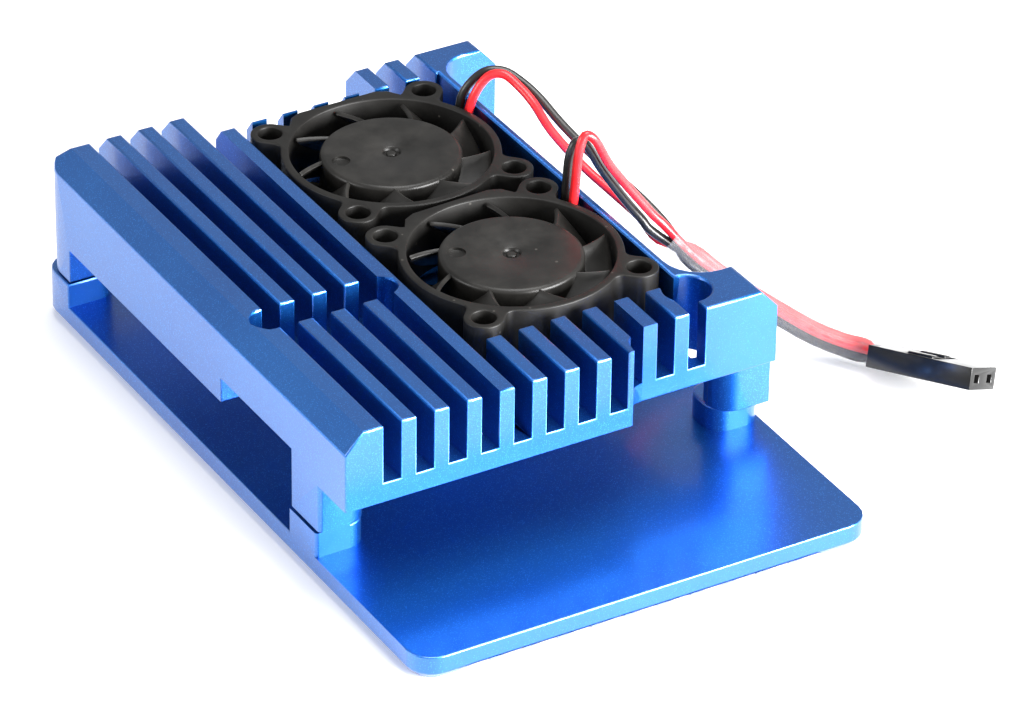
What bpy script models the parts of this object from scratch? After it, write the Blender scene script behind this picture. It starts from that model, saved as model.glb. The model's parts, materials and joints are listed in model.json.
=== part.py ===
"""Two-part heatsink case with twin cooling fans for a credit-card-size single board computer.

Frame: X runs along the case towards its open connector end, Y across it towards the pin-header side, Z up.
The origin is the centre of the base plate's underside. All lengths are in metres.
"""

from math import atan2, cos, hypot, pi, radians, sin

import bmesh
import bpy
from mathutils import Matrix, Vector

MM = 0.001
GAP = 0.3 * MM

# Board that the case is made for: its four fixing holes set the posts and screws.
BOARD_HOLES_X = (-40 * MM, 18 * MM)
BOARD_HOLES_Y = (-24.5 * MM, 24.5 * MM)

# Base plate.
BASE_LENGTH = 87 * MM
BASE_WIDTH = 56 * MM
BASE_THICK = 3.3 * MM
BASE_CORNER = 3 * MM
BASE_CHAMFER = 1.2 * MM
GROOVE_COUNT = 11
GROOVE_PITCH = 4.1 * MM
GROOVE_RADIUS = 1.65 * MM
GROOVE_DEPTH = 1.2 * MM
STANDOFF_TOP = 6.35 * MM
STANDOFF_REACH = 21.6 * MM
STANDOFF_CORNER = 2.2 * MM
STANDOFF_SPANS = ((-43.5 * MM, -37.1 * MM), (15 * MM, 21 * MM))

# Finned upper shell.
SHELL_REAR = -42.5 * MM
SHELL_FRONT = 27.1 * MM
RECESS_FRONT = 23.5 * MM
RECESS_SIDE = 7.35 * MM
RECESS_RADIUS = 3.4 * MM
SHELL_SIDE = 27.8 * MM
SHELL_CORNER = 3 * MM
SHELL_UNDER = 12.45 * MM
SHELL_TOP = 21.9 * MM
SLOT_FLOOR = 14.75 * MM
EDGE_CHAMFER = (2.2 * MM, 2.4 * MM)
RAIL_INNER = -23.2 * MM
FIN_FIRST = -20.15 * MM
FIN_PITCH = 3.97 * MM
FIN_WIDTH = 1.85 * MM
FIN_COUNT = 10
BLOCK_INNER = 18.9 * MM
CARD_NOTCH = (-36.85 * MM, -11 * MM, 10.7 * MM)
CHANNEL = (2.4 * MM, 2 * MM, -25.7 * MM, -7.85 * MM)
POCKET = (-35.35 * MM, 17.2 * MM, -7.3 * MM, 18.95 * MM)
POCKET_FLOOR = 13.9 * MM
HEADER_NOTCH = (-37.5 * MM, 17.15 * MM, 19.8 * MM)
HEADER_RADII = (3.4 * MM, 4.4 * MM)
DRAIN_HOLE = (18.9 * MM, 18.9 * MM, 2.75 * MM)
POST_BOTTOM = 6.65 * MM
POST_INNER = 21.7 * MM
REAR_POST_FRONT = -36.9 * MM
LEFT_POST = (15.2 * MM, 21.4 * MM)
RIGHT_POST = (16.4 * MM, 22.5 * MM)
SIDE_WALL = 2.4 * MM
LOW_WINDOW_TOP = 10.8 * MM
HIGH_WINDOW = (-0.7 * MM, 13.8 * MM)
CHIP_BOSS = (-14 * MM, 3 * MM, 7.5 * MM, 10.7 * MM)

# Case screws, from the underside of the base into the shell's posts.
SCREW_RADIUS = 1.25 * MM
SCREW_HEAD = (2.2 * MM, 1.2 * MM)
SCREW_SEAT = 1.8 * MM
SCREW_TIP = 11 * MM
SCREW_SOCKET = (0.8 * MM, 0.6 * MM)

# Fans: centre, height of the frame's underside, twist on the tape, blade phase, angle of the balance dimple.
FAN_SIZE = 25 * MM
FAN_HEIGHT = 7 * MM
FANS = {
    "rear": ((-22.5 * MM, 5.55 * MM), 14.9 * MM, 0.6, 25, 261),
    "front": ((3.45 * MM, 6.0 * MM), 15.25 * MM, 2.6, 4, 241),
}
EAR_SPACING = 20 * MM
EAR_RADIUS = 2.2 * MM
EAR_HOLE = 1.4 * MM
RING_RADIUS = 12.4 * MM
BORE_RADIUS = 11.5 * MM
FLAT_HALF = 4.9 * MM
FLAT_CORNER = (-11.1 * MM, 7 * MM)
RING_SPAN = 142
SEAT_THICK = 0.9 * MM
SEAT_RADIUS = 7.6 * MM
SPOKE_SPAN = (0.1 * MM, 0.8 * MM)
TUBE_RADII = (1.8 * MM, 2.4 * MM)
TUBE_TOP = 5 * MM
HUB_RADIUS = 8.05 * MM
HUB_WALL = 0.75 * MM
HUB_SPAN = (2.1 * MM, 6.8 * MM)
HUB_ROUND = 0.5 * MM
HUB_CAP = 0.8 * MM
BLADE_COUNT = 9
BLADE_TIP = 11.1 * MM
BLADE_SPAN = (2.3 * MM, 6.5 * MM)
BLADE_CHORD = 34
BLADE_SWEEP = 11
BLADE_THICK = 0.55 * MM
MAGNET = (6.2 * MM, 7.0 * MM, 2.4 * MM, 5.6 * MM)
BOARD_RADII = (2.7 * MM, 7.0 * MM)
BOARD_SPAN = (1.2 * MM, 1.8 * MM)
CORE_SPAN = (3.1 * MM, 4.3 * MM)
CORE_RADII = (2.7 * MM, 5.8 * MM)
ARM_HALF = 0.6 * MM
SHOE = (4.9 * MM, 5.8 * MM, 32)
COIL = (3.9 * MM, 4.55 * MM, 1.6 * MM)
SLEEVE = (0.8 * MM, 1.5 * MM, 1.2 * MM, 4.8 * MM)
SHAFT = (0.5 * MM, 1.2 * MM, 5.6 * MM)
TAPE_RADIUS = 6.5 * MM
DIMPLE = (6 * MM, 1.05 * MM, 0.35 * MM)
COIL_BELOW = 0.85 * MM
COIL_ABOVE = 0.55 * MM

# Leads: each route's points lie along the middle of the wire.
WIRE_RADIUS = 0.575 * MM
WIRE_STEP = 2.4 * MM
SHRINK_RADIUS = 1.45 * MM
LEADS = {
    "rear_red_wire": (
        (-27.2, 17.9, 16.0), (-27.2, 17.9, 19.5), (-26.9, 18.7, 23.0), (-26.5, 20.3, 25.3),
        (-25.3, 21.7, 25.8), (-23.4, 22.6, 24.9), (-21.0, 23.1, 23.8), (-18.4, 24.0, 21.2),
        (-14.8, 26.0, 18.0), (-11.0, 27.4, 16.3), (-6.7, 28.6, 14.8), (-3.4, 29.2, 13.3),
    ),
    "rear_black_wire": (
        (-28.6, 17.9, 16.0), (-28.6, 17.7, 19.5), (-28.4, 18.3, 23.0), (-27.8, 20.4, 25.2),
        (-26.7, 22.4, 25.4), (-24.7, 23.6, 24.7), (-22.1, 24.5, 23.6), (-18.8, 25.5, 21.6),
        (-14.8, 27.2, 19.1), (-10.7, 28.6, 17.5), (-6.5, 29.8, 15.9), (-2.9, 30.5, 14.3),
    ),
    "front_red_wire": (
        (-3.5, 17.9, 16.0), (-3.6, 17.9, 19.5), (-3.2, 18.0, 23.9), (-3.1, 18.3, 27.7),
        (-3.2, 19.1, 29.7), (-2.9, 20.3, 28.9), (-3.2, 22.2, 25.4), (-3.3, 24.3, 22.3),
        (-3.0, 26.6, 19.1), (-2.7, 28.0, 17.2), (-2.2, 29.1, 15.9),
    ),
    "front_black_wire": (
        (-4.9, 17.95, 16.0), (-5.1, 17.9, 19.5), (-4.9, 17.9, 23.2), (-4.8, 18.1, 26.4),
        (-4.7, 18.9, 28.2), (-4.4, 20.1, 27.6), (-4.6, 21.9, 24.4), (-4.7, 23.8, 21.4),
        (-4.5, 26.0, 18.1), (-4.0, 27.3, 16.2), (-3.3, 28.2, 14.8),
    ),
}
SHRINK_ROUTE = (
    (-2.0, 29.8, 14.0), (-0.7, 31.6, 12.2), (1.2, 34.0, 9.9), (3.6, 36.8, 7.6), (6.2, 39.9, 5.3),
    (8.6, 42.6, 3.5), (11.0, 45.0, 2.55), (13.3, 46.6, 2.45),
)

# Plug: a two-way crimp housing lying tilted on the surface beside the case.
PLUG_CORNER = (15.6, 45.0, 2.1)
PLUG_AXES = ((12.8, 5.3, 2.3), (-1.5, 4.5, -2.1))
PLUG_SIZE = (14 * MM, 5.08 * MM, 2.54 * MM)
PLUG_PITCH = 2.54 * MM
PLUG_MOUTH = 0.4 * MM
PLUG_CAVITY = (3 * MM, 0.6 * MM, 0.8 * MM)
CRIMP_LENGTH = 7 * MM
CRIMP_HALF = 0.5 * MM

for old in list(bpy.data.objects):
    bpy.data.objects.remove(old, do_unlink=True)
PARTS = bpy.data.collections.new("heatsink_case")
CUTTERS = bpy.data.collections.new("cutters")
for group in (PARTS, CUTTERS):
    bpy.context.scene.collection.children.link(group)


# Helpers.

def finish(name, colour, roughness, metallic):
    """A Principled material."""
    material = bpy.data.materials.new(name)
    material.use_nodes = True
    shader = material.node_tree.nodes["Principled BSDF"]
    shader.inputs["Base Color"].default_value = (*colour, 1)
    shader.inputs["Roughness"].default_value = roughness
    shader.inputs["Metallic"].default_value = metallic
    return material


def mesh_object(name, mesh):
    """A mesh object, kept with the cutters until it is made a part."""
    thing = bpy.data.objects.new(name, mesh)
    thing.hide_render = True
    thing.display_type = "WIRE"
    CUTTERS.objects.link(thing)
    return thing


def from_bmesh(name, shape):
    bmesh.ops.recalc_face_normals(shape, faces=shape.faces)
    mesh = bpy.data.meshes.new(name)
    shape.to_mesh(mesh)
    shape.free()
    return mesh_object(name, mesh)


def box(name, low, high):
    """A block between two corners."""
    shape = bmesh.new()
    middle = [(a + b) / 2 for a, b in zip(low, high)]
    size = [b - a for a, b in zip(low, high)]
    bmesh.ops.create_cube(shape, size=1, matrix=Matrix.LocRotScale(middle, None, size))
    return from_bmesh(name, shape)


def rod(name, centre, radius, bottom, top, sides=16):
    """An upright cylinder."""
    shape = bmesh.new()
    place = Matrix.Translation((centre[0], centre[1], (bottom + top) / 2))
    bmesh.ops.create_cone(
        shape, cap_ends=True, segments=sides, radius1=radius, radius2=radius, depth=top - bottom, matrix=place
    )
    return from_bmesh(name, shape)


def meshed(curve_object):
    """A curve object made a welded mesh object, with the curve removed."""
    bpy.context.view_layer.update()
    name = curve_object.name
    evaluated = curve_object.evaluated_get(bpy.context.evaluated_depsgraph_get())
    mesh = bpy.data.meshes.new_from_object(evaluated)
    place = curve_object.matrix_world.copy()
    bpy.data.objects.remove(curve_object, do_unlink=True)
    shape = bmesh.new()
    shape.from_mesh(mesh)
    bmesh.ops.remove_doubles(shape, verts=shape.verts, dist=1e-6)
    bpy.data.meshes.remove(mesh)
    thing = from_bmesh(name, shape)
    thing.matrix_world = place
    return thing


def prism(name, outlines, bottom, top):
    """A flat outline, with any holes in it, made solid between two heights."""
    curve = bpy.data.curves.new(name, "CURVE")
    curve.dimensions = "2D"
    curve.fill_mode = "BOTH"
    curve.extrude = (top - bottom) / 2
    for points in outlines:
        spline = curve.splines.new("POLY")
        spline.points.add(len(points) - 1)
        for slot, (x, y) in zip(spline.points, points):
            slot.co = (x, y, 0, 1)
        spline.use_cyclic_u = True
    flat = bpy.data.objects.new(name, curve)
    flat.location.z = (bottom + top) / 2
    CUTTERS.objects.link(flat)
    return meshed(flat)


def lofted(name, levels):
    """A solid through outlines with equally many points, each at its own height, lowest first."""
    shape = bmesh.new()
    rings = [[shape.verts.new((x, y, height)) for x, y in outline] for outline, height in levels]
    for lower, upper in zip(rings, rings[1:]):
        for index, corner in enumerate(lower):
            after = (index + 1) % len(lower)
            shape.faces.new((corner, lower[after], upper[after], upper[index]))
    shape.faces.new(rings[0])
    shape.faces.new(rings[-1])
    bmesh.ops.recalc_face_normals(shape, faces=shape.faces)
    return from_bmesh(name, shape)


def turned(name, profile, place, sides=32):
    """A closed profile of (radius, height), from the outer top corner down, turned about an upright axis."""
    mesh = bpy.data.meshes.new(name)
    shape = bmesh.new()
    corners = [shape.verts.new((radius, 0, height)) for radius, height in profile]
    for first, second in zip(corners, corners[1:] + corners[:1]):
        shape.edges.new((first, second))
    shape.to_mesh(mesh)
    shape.free()
    thing = mesh_object(name, mesh)
    thing.location = place
    screw = thing.modifiers.new("turn", "SCREW")
    screw.steps = sides
    screw.render_steps = sides
    screw.use_merge_vertices = True
    screw.merge_threshold = 1e-6
    screw.use_smooth_shade = True
    return thing


def ring(name, radii, span, place, sides=24):
    """A plain turned ring."""
    inner, outer = radii
    bottom, top = span
    return turned(name, [(outer, top), (outer, bottom), (inner, bottom), (inner, top)], place, sides)


def arc(centre, radius, start, end, steps):
    """Points along a circular arc, in degrees."""
    angles = [radians(start + (end - start) * step / steps) for step in range(steps + 1)]
    return [(centre[0] + radius * cos(angle), centre[1] + radius * sin(angle)) for angle in angles]


def rounded(low, high, radii, steps=5):
    """A rectangle's outline, with corner radii from its low corner round, counter-clockwise."""
    (x0, y0), (x1, y1) = low, high
    corners = ((x0, y0, 1, 1, 180), (x1, y0, -1, 1, 270), (x1, y1, -1, -1, 0), (x0, y1, 1, -1, 90))
    points = []
    for (x, y, toward_x, toward_y, start), radius in zip(corners, radii):
        if radius:
            centre = (x + toward_x * radius, y + toward_y * radius)
            points += arc(centre, radius, start, start + 90, steps)
        else:
            points.append((x, y))
    return points


def group(name, pieces):
    """Separate pieces that don't touch, made one cutter."""
    shape = bmesh.new()
    for piece in pieces:
        mesh = piece.data.copy()
        mesh.transform(piece.matrix_world)
        shape.from_mesh(mesh)
        bpy.data.meshes.remove(mesh)
        bpy.data.objects.remove(piece, do_unlink=True)
    mesh = bpy.data.meshes.new(name)
    shape.to_mesh(mesh)
    shape.free()
    return mesh_object(name, mesh)


def boolean(target, operation, tool):
    step = target.modifiers.new(tool.name, "BOOLEAN")
    step.operation = operation
    step.solver = "EXACT"
    step.object = tool


def cut(target, *tools):
    for tool in tools:
        boolean(target, "DIFFERENCE", tool)


def join(target, *tools):
    for tool in tools:
        boolean(target, "UNION", tool)


def part(thing, material, parent=None, smooth=0):
    """Makes an object a named part of the case; smooth is the angle below which its faces are blended."""
    CUTTERS.objects.unlink(thing)
    PARTS.objects.link(thing)
    thing.hide_render = False
    thing.display_type = "TEXTURED"
    thing.data.materials.clear()
    thing.data.materials.append(material)
    if smooth and thing.type == "MESH":
        thing.data.shade_smooth()
        thing.data.set_sharp_from_angle(angle=radians(smooth))
    if parent:
        thing.parent = parent
    return thing


def edge_cutter(name, start, end, inward, size):
    """A wedge-shaped cutter that chamfers a top edge; inward points from the edge into the solid."""
    start, end = Vector(start), Vector(end)
    wide, deep = size
    along = (end - start).normalized()
    across = (Vector(inward) * wide + Vector((0, 0, deep))).normalized()
    out = along.cross(across)
    if out.dot(Vector(inward)) > 0:
        out = -out
    middle = (start + end) / 2 + Vector(inward) * wide / 2 - Vector((0, 0, deep / 2))
    reach = 4 * hypot(wide, deep)
    turn = Matrix((along, across, out)).transposed().to_4x4()
    shape = bmesh.new()
    length = (end - start).length + 2 * MM
    place = Matrix.Translation(middle + out * reach / 2) @ turn @ Matrix.Diagonal((length, reach, reach, 1))
    bmesh.ops.create_cube(shape, size=1, matrix=place)
    return from_bmesh(name, shape)


def smooth_path(points, spacing):
    """Evenly spaced points along a Catmull-Rom curve through the route's points."""
    route = [Vector(point) * MM for point in points]
    ends = [2 * route[0] - route[1], *route, 2 * route[-1] - route[-2]]
    fine = []
    for before, here, there, after in zip(ends, ends[1:], ends[2:], ends[3:]):
        for step in range(12):
            t = step / 12
            fine.append(
                0.5 * (2 * here + (there - before) * t + (2 * before - 5 * here + 4 * there - after) * t * t
                       + (3 * here - before - 3 * there + after) * t ** 3)
            )
    fine.append(route[-1])
    travelled = [0.0]
    for first, second in zip(fine, fine[1:]):
        travelled.append(travelled[-1] + (second - first).length)
    count = max(2, round(travelled[-1] / spacing))
    path = []
    index = 0
    for step in range(count + 1):
        target = travelled[-1] * step / count
        while index < len(fine) - 2 and travelled[index + 1] < target:
            index += 1
        share = (target - travelled[index]) / (travelled[index + 1] - travelled[index])
        path.append(fine[index].lerp(fine[index + 1], min(1, share)))
    return path


def tube(name, points, radius, material):
    """A round wire along a route."""
    curve = bpy.data.curves.new(name, "CURVE")
    curve.dimensions = "3D"
    curve.bevel_depth = radius
    curve.bevel_resolution = 2
    curve.use_fill_caps = True
    path = smooth_path(points, WIRE_STEP)
    spline = curve.splines.new("POLY")
    spline.points.add(len(path) - 1)
    for slot, place in zip(spline.points, path):
        slot.co = (*place, 1)
    spline.use_smooth = True
    thing = bpy.data.objects.new(name, curve)
    thing.hide_render = True
    CUTTERS.objects.link(thing)
    return part(thing, material)


BLUE = finish("blue_anodised", (0.03, 0.13, 0.5), 0.35, 0.9)
STEEL = finish("screw_steel", (0.5, 0.5, 0.52), 0.3, 1)
BLACK = finish("fan_plastic", (0.03, 0.03, 0.028), 0.45, 0)
MAGNETIC = finish("bonded_magnet", (0.05, 0.045, 0.04), 0.6, 0.2)
BRONZE = finish("sintered_bronze", (0.55, 0.35, 0.18), 0.45, 1)
CORE = finish("electrical_steel", (0.35, 0.35, 0.36), 0.4, 1)
COPPER = finish("enamelled_copper", (0.7, 0.25, 0.1), 0.35, 1)
LAMINATE = finish("circuit_laminate", (0.05, 0.22, 0.08), 0.5, 0)
ADHESIVE = finish("foam_tape", (0.1, 0.1, 0.1), 0.9, 0)
RED_SHEATH = finish("red_sheath", (0.75, 0.03, 0.03), 0.4, 0)
BLACK_SHEATH = finish("black_sheath", (0.02, 0.02, 0.02), 0.4, 0)
CLEAR = finish("clear_shrink", (0.8, 0.8, 0.8), 0.2, 0)
HOUSING = finish("plug_plastic", (0.02, 0.02, 0.02), 0.5, 0)
TINNED = finish("tinned_contact", (0.6, 0.6, 0.58), 0.3, 1)


# Base plate: chamfered and grooved underneath, with a standoff under each of the board's holes.

def base_plate():
    half = (BASE_LENGTH / 2, BASE_WIDTH / 2)
    foot = (half[0] - BASE_CHAMFER, half[1] - BASE_CHAMFER)
    full = rounded((-half[0], -half[1]), half, [BASE_CORNER] * 4)
    inset = rounded((-foot[0], -foot[1]), foot, [BASE_CORNER - BASE_CHAMFER] * 4)
    plate = lofted("base_plate", [(inset, 0), (full, BASE_CHAMFER), (full, BASE_THICK)])
    for x_side, (start, end) in zip(("rear", "front"), STANDOFF_SPANS):
        for y_side, sign in (("left", -1), ("right", 1)):
            low = (start, min(sign * half[1], sign * STANDOFF_REACH))
            high = (end, max(sign * half[1], sign * STANDOFF_REACH))
            radii = [0, 0, 0, 0]
            radii[{-1: 2, 1: 1}[sign]] = STANDOFF_CORNER
            if x_side == "rear":
                radii[{-1: 0, 1: 3}[sign]] = BASE_CORNER
            else:
                radii[{-1: 3, 1: 0}[sign]] = STANDOFF_CORNER
                radii[{-1: 1, 1: 2}[sign]] = {-1: 0.4 * MM, 1: STANDOFF_CORNER}[sign]
            standoff = prism(f"standoff_{x_side}_{y_side}", [rounded(low, high, radii)], 2 * MM, STANDOFF_TOP)
            join(plate, standoff)
    centre_z = GROOVE_DEPTH - GROOVE_RADIUS
    grooves = []
    for index in range(GROOVE_COUNT):
        y = (index - (GROOVE_COUNT - 1) / 2) * GROOVE_PITCH
        shape = bmesh.new()
        place = Matrix.Translation((0, y, centre_z)) @ Matrix.Rotation(pi / 2, 4, "Y")
        bmesh.ops.create_cone(
            shape, cap_ends=True, segments=14, radius1=GROOVE_RADIUS, radius2=GROOVE_RADIUS,
            depth=BASE_LENGTH + 2 * MM, matrix=place,
        )
        grooves.append(from_bmesh("groove", shape))
    cut(plate, group("grooves", grooves))
    holes = []
    seats = []
    for x in BOARD_HOLES_X:
        for y in BOARD_HOLES_Y:
            holes.append(rod("hole", (x, y), SCREW_RADIUS + GAP, -1 * MM, 8 * MM))
            seats.append(rod("seat", (x, y), SCREW_HEAD[0] + GAP, -1 * MM, SCREW_SEAT))
    cut(plate, group("screw_holes", holes), group("screw_seats", seats))
    part(plate, BLUE)


# Finned shell.

def shell_outline():
    """The shell seen from above, with the card notch, the header notch and the recess at the front right."""
    notch_x, notch_low, notch_high = CARD_NOTCH
    head_rear, head_front, head_y = HEADER_NOTCH
    rear_r, front_r = HEADER_RADII
    points = arc((SHELL_REAR + SHELL_CORNER, SHELL_CORNER - SHELL_SIDE), SHELL_CORNER, 180, 270, 5)
    points += [(SHELL_FRONT, -SHELL_SIDE), (SHELL_FRONT, RECESS_SIDE)]
    points += arc(
        (RECESS_FRONT + RECESS_RADIUS, RECESS_SIDE + RECESS_RADIUS), RECESS_RADIUS, 270, 180, 5
    )
    points += [(RECESS_FRONT, SHELL_SIDE), (head_front, SHELL_SIDE)]
    points += arc((head_front - front_r, head_y + front_r), front_r, 0, -90, 6)
    points += arc((head_rear + rear_r, head_y + rear_r), rear_r, 270, 180, 5)
    points.append((head_rear, SHELL_SIDE))
    points += arc((SHELL_REAR + SHELL_CORNER, SHELL_SIDE - SHELL_CORNER), SHELL_CORNER, 90, 180, 5)
    points += [(SHELL_REAR, notch_high), (notch_x, notch_high), (notch_x, notch_low), (SHELL_REAR, notch_low)]
    return points


def fin_slots():
    """The gaps between the fins, the first beside the left rail and the last beside the right block."""
    edges = [RAIL_INNER]
    for index in range(FIN_COUNT):
        middle = FIN_FIRST + index * FIN_PITCH
        edges += [middle - FIN_WIDTH / 2, middle + FIN_WIDTH / 2]
    edges.append(BLOCK_INNER - 0.3 * MM)
    slots = []
    for index in range(FIN_COUNT + 1):
        low, high = edges[2 * index], edges[2 * index + 1]
        slots.append(box("slot", (-50 * MM, low, SLOT_FLOOR), (50 * MM, high, 30 * MM)))
    return group("fin_slots", slots)


def shell_posts():
    """The posts over the board's holes and the side wall between the left ones."""
    reach = SHELL_SIDE
    into = 13 * MM
    rear = (SHELL_REAR, REAR_POST_FRONT)
    corner = SHELL_CORNER
    return (
        prism("post_rear_left", [rounded((rear[0], -reach), (rear[1], -POST_INNER), [corner, 0, 2 * MM, 0])],
              POST_BOTTOM, into),
        prism("post_rear_right",
              [rounded((rear[0], POST_INNER), (rear[1] - 0.6 * MM, reach), [0, 2 * MM, 0, corner])],
              POST_BOTTOM, into),
        prism("post_front_left",
              [rounded((LEFT_POST[0], -reach), (LEFT_POST[1], -POST_INNER),
                       [0, 0.5 * MM, 2.2 * MM, 2.2 * MM], 4)],
              POST_BOTTOM, into),
        prism("post_front_right",
              [rounded((RIGHT_POST[0] + 0.75 * MM, POST_INNER - 0.3 * MM), (RIGHT_POST[1], reach),
                       [2.6 * MM, 2.6 * MM, 0, 0])],
              POST_BOTTOM, into),
        box("side_wall", (rear[1] - MM, -reach, LOW_WINDOW_TOP),
            (LEFT_POST[0] + MM, SIDE_WALL - reach, into)),
    )


def heatsink_shell():
    """The finned shell, with its posts, openings, fan pocket and chip boss."""
    shell = prism("heatsink_shell", [shell_outline()], SHELL_UNDER, SHELL_TOP)
    join(shell, *shell_posts())
    boss_x, boss_y, boss_half, boss_bottom = CHIP_BOSS
    join(shell, box("chip_boss", (boss_x - boss_half, boss_y - boss_half, boss_bottom),
                    (boss_x + boss_half, boss_y + boss_half, 13 * MM)))
    cut(shell, fin_slots())
    cut(shell, prism("fan_pocket", [rounded((POCKET[0], POCKET[2]), (POCKET[1], POCKET[3]), [0, 0, 0, 0])],
                     POCKET_FLOOR, 30 * MM))
    channel_x, channel_r, channel_low, channel_high = CHANNEL
    cut(shell, prism("channel",
                     [rounded((channel_x - channel_r, channel_low), (channel_x + channel_r, channel_high),
                              [channel_r] * 4, 4)],
                     SLOT_FLOOR - 0.02 * MM, 30 * MM))
    cut(shell, rod("drain_hole", DRAIN_HOLE[:2], DRAIN_HOLE[2], 5 * MM, 30 * MM, 24))
    high_start, high_top = HIGH_WINDOW
    cut(shell, box("high_window", (high_start, -30 * MM, 10 * MM),
                   (LEFT_POST[0], SIDE_WALL - SHELL_SIDE, high_top)))
    top = SHELL_TOP
    edges = {
        "left_chamfer": ((-50 * MM, -SHELL_SIDE, top), (50 * MM, -SHELL_SIDE, top), (0, 1, 0)),
        "right_chamfer": ((-50 * MM, SHELL_SIDE, top), (50 * MM, SHELL_SIDE, top), (0, -1, 0)),
        "rear_chamfer": ((SHELL_REAR, -40 * MM, top), (SHELL_REAR, 40 * MM, top), (1, 0, 0)),
    }
    cut(shell, *(edge_cutter(name, *ends, EDGE_CHAMFER) for name, ends in edges.items()))
    notch_x, notch_low, notch_high = CARD_NOTCH
    stub = edge_cutter("stub_chamfer", (notch_x, notch_low + 2 * MM, top),
                       (notch_x, notch_high - 2.2 * MM, top), (1, 0, 0), (1.3 * MM, 1.7 * MM))
    cut(shell, stub)
    holes = [rod("tapped_hole", (x, y), SCREW_RADIUS + GAP, 5 * MM, SCREW_TIP + GAP)
             for x in BOARD_HOLES_X for y in BOARD_HOLES_Y]
    cut(shell, group("tapped_holes", holes))
    part(shell, BLUE)


def case_screws():
    """Socket-head screws from under the base into the shell's posts."""
    head_radius, head_height = SCREW_HEAD
    socket_radius, socket_depth = SCREW_SOCKET
    head_bottom = SCREW_SEAT - GAP - head_height
    for x_side, x in zip(("rear", "front"), BOARD_HOLES_X):
        for y_side, y in zip(("left", "right"), BOARD_HOLES_Y):
            profile = [
                (SCREW_RADIUS, SCREW_TIP), (SCREW_RADIUS, head_bottom + head_height),
                (head_radius, head_bottom + head_height), (head_radius, head_bottom),
                (socket_radius, head_bottom), (socket_radius, head_bottom + socket_depth),
                (0, head_bottom + socket_depth), (0, SCREW_TIP),
            ]
            screw = turned(f"case_screw_{x_side}_{y_side}", profile, (x, y, 0), 14)
            part(screw, STEEL)


# Fans.

def fan_outline():
    """The fan frame seen from above: a ring with a flat on its wire side."""
    half = FAN_SIZE / 2
    corner_x, corner_y = FLAT_CORNER
    points = arc((0, 0), RING_RADIUS, -RING_SPAN, RING_SPAN, 34)
    points += [(corner_x, corner_y), (-half, FLAT_HALF), (-half, -FLAT_HALF), (corner_x, -corner_y)]
    return points


def fan_ears(base, top):
    """The four bored ears, each on a short diagonal web."""
    pieces = []
    for index in range(4):
        angle = radians(45 + 90 * index)
        out = EAR_SPACING / 2 ** 0.5
        start = RING_RADIUS - 0.7 * MM
        outline = [(start, -EAR_RADIUS)] + arc((out, 0), EAR_RADIUS, -90, 90, 8) + [(start, EAR_RADIUS)]
        turned_outline = [(x * cos(angle) - y * sin(angle), x * sin(angle) + y * cos(angle))
                          for x, y in outline]
        pieces.append(prism("ear", [turned_outline], base, top))
    return group("ears", pieces)


def fan_frame(side, hub):
    """The moulded frame with its ears, struts, seat and bearing tube."""
    frame = prism(f"{side}_fan_frame", [fan_outline(), arc((0, 0), BORE_RADIUS, 360, 9, 39)], 0, FAN_HEIGHT)
    frame.matrix_world = Matrix.Translation((0, 0, FAN_HEIGHT / 2))
    ears = fan_ears(0, FAN_HEIGHT)
    spokes = []
    for angle in (45, 135, 225, 315):
        low, high = SPOKE_SPAN
        spoke = box("spoke", (SEAT_RADIUS - 0.6 * MM, -MM, low), (BORE_RADIUS + 0.4 * MM, MM, high))
        spoke.data.transform(Matrix.Rotation(radians(angle), 4, "Z"))
        spokes.append(spoke)
    tube_in, tube_out = TUBE_RADII
    profile = [(tube_out, TUBE_TOP), (tube_out, SEAT_THICK), (SEAT_RADIUS, SEAT_THICK), (SEAT_RADIUS, 0),
               (tube_in, 0), (tube_in, TUBE_TOP)]
    seat = turned("seat", profile, (0, 0, 0), 20)
    bores = [
        rod("ear_hole", (sx * EAR_SPACING / 2, sy * EAR_SPACING / 2), EAR_HOLE, -MM, FAN_HEIGHT + MM, 14)
        for sx in (-1, 1) for sy in (-1, 1)
    ]
    tools = [ears, group("spokes", spokes), seat, group("ear_holes", bores)]
    join(frame, *tools[:3])
    cut(frame, tools[3])
    for thing in (frame, *tools):
        thing.matrix_world = hub.matrix_world @ thing.matrix_world
    part(frame, BLACK, smooth=30)


def blade_mesh(phase):
    """One blade: a twisted sheet that drops clockwise from its leading edge, thickened."""
    bottom, top = BLADE_SPAN
    rows, columns = 2, 3
    inner = HUB_RADIUS - 0.35 * MM
    shape = bmesh.new()
    grid = []
    for row in range(rows + 1):
        out = row / rows
        radius = inner + (BLADE_TIP - inner) * out
        line = []
        for column in range(columns + 1):
            back = column / columns
            angle = radians(phase + BLADE_SWEEP * (out - 1) - BLADE_CHORD * back * (1 - 0.12 * out))
            height = top - (top - bottom) * back ** 0.85
            line.append(shape.verts.new((radius * cos(angle), radius * sin(angle), height)))
        grid.append(line)
    for lower, upper in zip(grid, grid[1:]):
        for index in range(columns):
            shape.faces.new((lower[index], lower[index + 1], upper[index + 1], upper[index]))
    mesh = bpy.data.meshes.new("blade")
    shape.to_mesh(mesh)
    shape.free()
    blade = mesh_object("blade", mesh)
    solid = blade.modifiers.new("thick", "SOLIDIFY")
    solid.thickness = BLADE_THICK
    solid.offset = 0
    return meshed(blade)


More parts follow.
